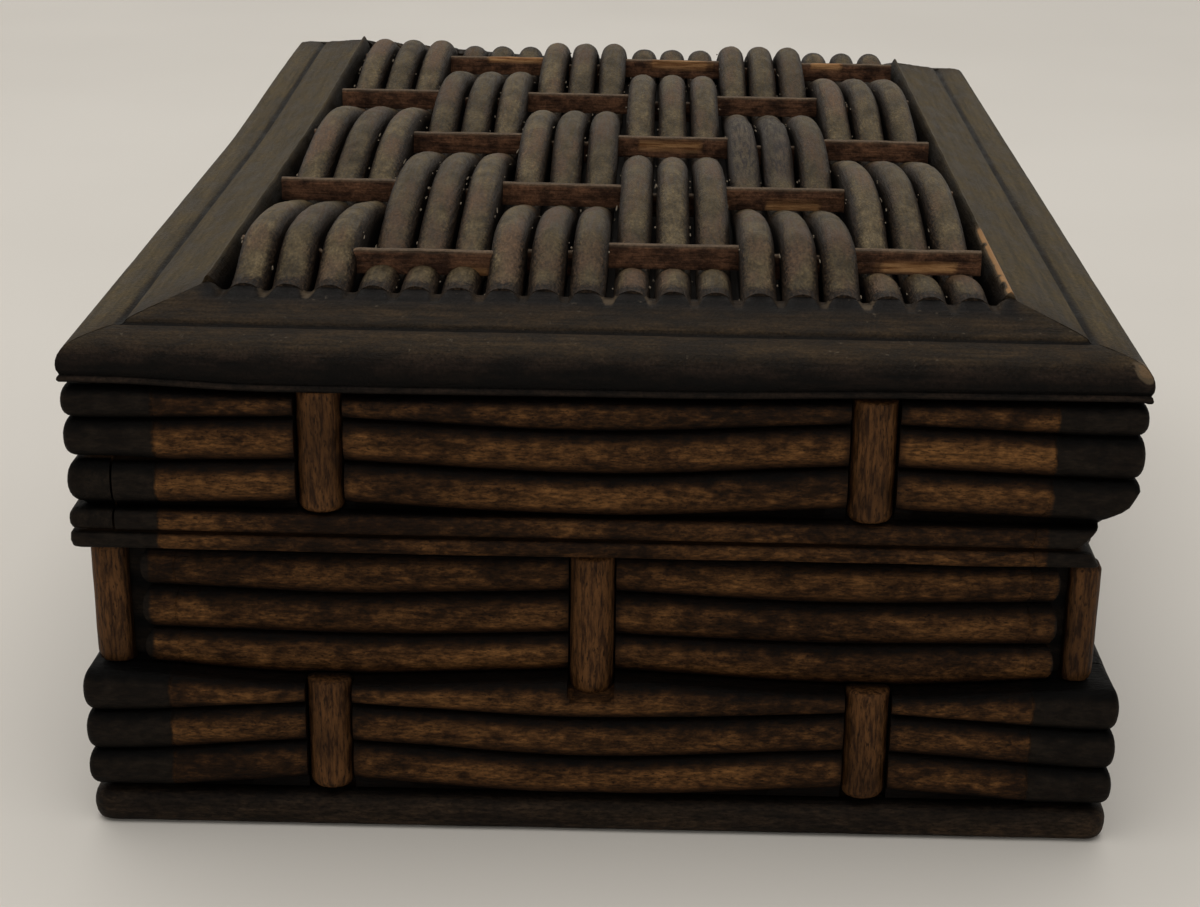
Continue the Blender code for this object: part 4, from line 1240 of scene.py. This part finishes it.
def lath(number):
    """Thin lath on edge, slightly uneven, with worn top edges and split-off chips."""
    middle_y = (number - 3) * LATH_PITCH
    low = LATH_LOW - LATH_SINK
    rings = []
    for x in spread(-WEAVE_X, WEAVE_X, 0.4):
        sag = 0.12 * wobble(number, x * 0.05) + 0.07 * wobble(number + 9, x * 0.4)
        column = min(5, int((x + WEAVE_X) / COLUMN_PITCH))
        if strand_height(middle_y, column) > LATH_HIGH:
            sag -= LATH_DIP * smooth(0.48, 0.30, abs((x + WEAVE_X) / COLUMN_PITCH - column - 0.5))
        y = middle_y + 0.12 * wobble(number + 20, x * 0.04)
        if number == 1:
            y -= LATH_SHIFT * smooth(-11.6, -14.9, x) * smooth(-37.8, -34.4, x)
        bare, share = chip_at(number, x)
        ring = []
        for across, up, crest in LATH_SECTION:
            hit = bare * max(0.0, 1 - abs(up - share) / 0.3) if across < 0 else 0.0
            rough = 0.05 * wobble(number + 40, x * 0.9, up * 4) if across < 0 else 0.0
            ring.append((x, y + across * LATH_HALF * (1 - 0.35 * hit) + rough,
                         low + (LATH_HIGH - low) * up + sag, crest, 0.0, min(1.0, 1.6 * hit)))
        rings.append(ring)
    tube("lath_%d" % number, rings, "lid", lath_look, "cross_lath_%d" % number, angle=50)


def lint():
    """Flecks of dust and lint lying in the creases between the strands."""
    dice = random.Random(11)
    count = 230
    corners = 5
    points = []
    faces = []
    middles = list(strand_middles())
    for _ in range(count):
        column, _, middle = dice.choice(middles)
        y = dice.uniform(-WEAVE_Y + 1, WEAVE_Y - 4)
        long = dice.choice((0.2, 0.25, 0.3, 0.4, 0.5, 0.9))
        wide = dice.uniform(0.07, 0.16)
        x = middle + dice.choice((-1, 1)) * dice.uniform(2.2, 2.5)
        sink = dice.uniform(1.45, 1.9)
        turn = dice.uniform(-0.12, 0.12)
        faces += ring_faces(4, corners, len(points))
        for part, size in ((-1, 0.3), (-0.4, 1.0), (0.45, 0.8), (1, 0.25)):
            along = part * long
            for corner in range(corners):
                a = math.tau * corner / corners + part
                points.append((x + size * wide * math.cos(a) + turn * along, y + along,
                               strand_height(y + along, column) - sink + size * wide * math.sin(a)))
    add_piece("crease_lint", points, faces, "lid", lint_look)


def dress_kept_nodes():
    """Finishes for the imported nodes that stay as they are."""
    finishes = {inner_look: ("lid_board", "key_runner"),
                steel_look: ("catch_hook_front", "catch_hook_back", "hinge_pin_front", "hinge_pin_back",
                             "hinge_ear_front", "hinge_ear_back")}
    for finish, nodes in finishes.items():
        for name in nodes:
            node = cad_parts[name]
            if node.data.materials:
                for index in range(len(node.data.materials)):
                    node.data.materials[index] = finish
            else:
                node.data.materials.append(finish)


# ---------------------------------------------------------------- floor, light and camera
def floor():
    """Wide level floor, in squares."""
    half = 2500.0
    values = spread(-half, half, half / 12)
    across = len(values)
    faces = [(r * across + c, r * across + c + 1, (r + 1) * across + c + 1, (r + 1) * across + c)
             for r in range(across - 1) for c in range(across - 1)]
    mesh = bpy.data.meshes.new("floor")
    mesh.from_pydata([(x / MM, y / MM, 0.0) for y in values for x in values], [], faces)
    made = bpy.data.objects.new("floor", mesh)
    made.data.materials.append(floor_finish())
    bpy.context.scene.collection.objects.link(made)


def area_light(name, where, target, size, power, colour):
    """Rectangular light turned to its target. Places and sizes are in metres."""
    light = bpy.data.lights.new(name, "AREA")
    light.shape = "RECTANGLE"
    light.size, light.size_y = size
    light.energy = power
    light.color = colour
    made = bpy.data.objects.new(name, light)
    made.location = where
    made.rotation_euler = (Vector(target) - Vector(where)).to_track_quat("-Z", "Y").to_euler()
    made.visible_camera = False
    bpy.context.scene.collection.objects.link(made)


def lights():
    """Soft light from above, a pale wall behind, and a weak fill in front."""
    scene = bpy.context.scene
    world = bpy.data.worlds.new("soft_room")
    world.use_nodes = True
    room = world.node_tree.nodes["Background"].inputs
    room["Color"].default_value = (1.0, 0.97, 0.92, 1.0)
    room["Strength"].default_value = 0.34
    scene.world = world
    area_light("high_window", (-0.10, 0.0, 1.0), (0.0, 0.0, 0.0), (1.3, 1.1), 7.6, (1.0, 0.965, 0.915))
    area_light("wall_behind", (0.0, 1.35, 0.40), (0.0, 0.0, 0.05), (3.0, 0.7), 2.6, (1.0, 0.93, 0.84))
    area_light("front_fill", (0.2, -1.3, 0.30), (0.0, 0.0, 0.03), (1.4, 0.35), 2.4, (1.0, 0.95, 0.87))
    scene.view_settings.view_transform = "Standard"


def camera():
    """Camera in front of the box, looking down at it, with a slight roll."""
    where = Vector((5.56, -329.99, 143.24)) / MM
    pitch = math.radians(20.91)
    yaw = math.radians(0.04)
    roll = math.radians(-1.21)
    forward = Vector((math.sin(yaw) * math.cos(pitch), math.cos(yaw) * math.cos(pitch), -math.sin(pitch)))
    right = Vector((math.cos(yaw), -math.sin(yaw), 0.0))
    down = forward.cross(right)
    across = math.cos(roll) * right + math.sin(roll) * down
    below = -math.sin(roll) * right + math.cos(roll) * down
    matrix = Matrix((across, -below, -forward)).transposed().to_4x4()
    matrix.translation = where
    data = bpy.data.cameras.new("camera")
    data.sensor_width = 36.0
    data.lens = 66.3
    data.shift_x = -0.0444
    data.clip_start = 0.01
    made = bpy.data.objects.new("camera", data)
    made.matrix_world = matrix
    bpy.context.scene.collection.objects.link(made)
    bpy.context.scene.camera = made


body_walls()
lid_walls()
lid_left_wall()
key_bar()
posts()
for end, sign in (("front", -1), ("back", 1)):
    corner_post("corner_post_%s_left" % end, -1, sign)
    corner_post("corner_post_%s_right" % end, 1, sign)
base_board()
for side in SIDES:
    moulding(side)
for stick in strand_middles():
    strand(*stick)
for number in range(1, 6):
    lath(number)
lint()
dress_kept_nodes()
floor()
lights()
camera()
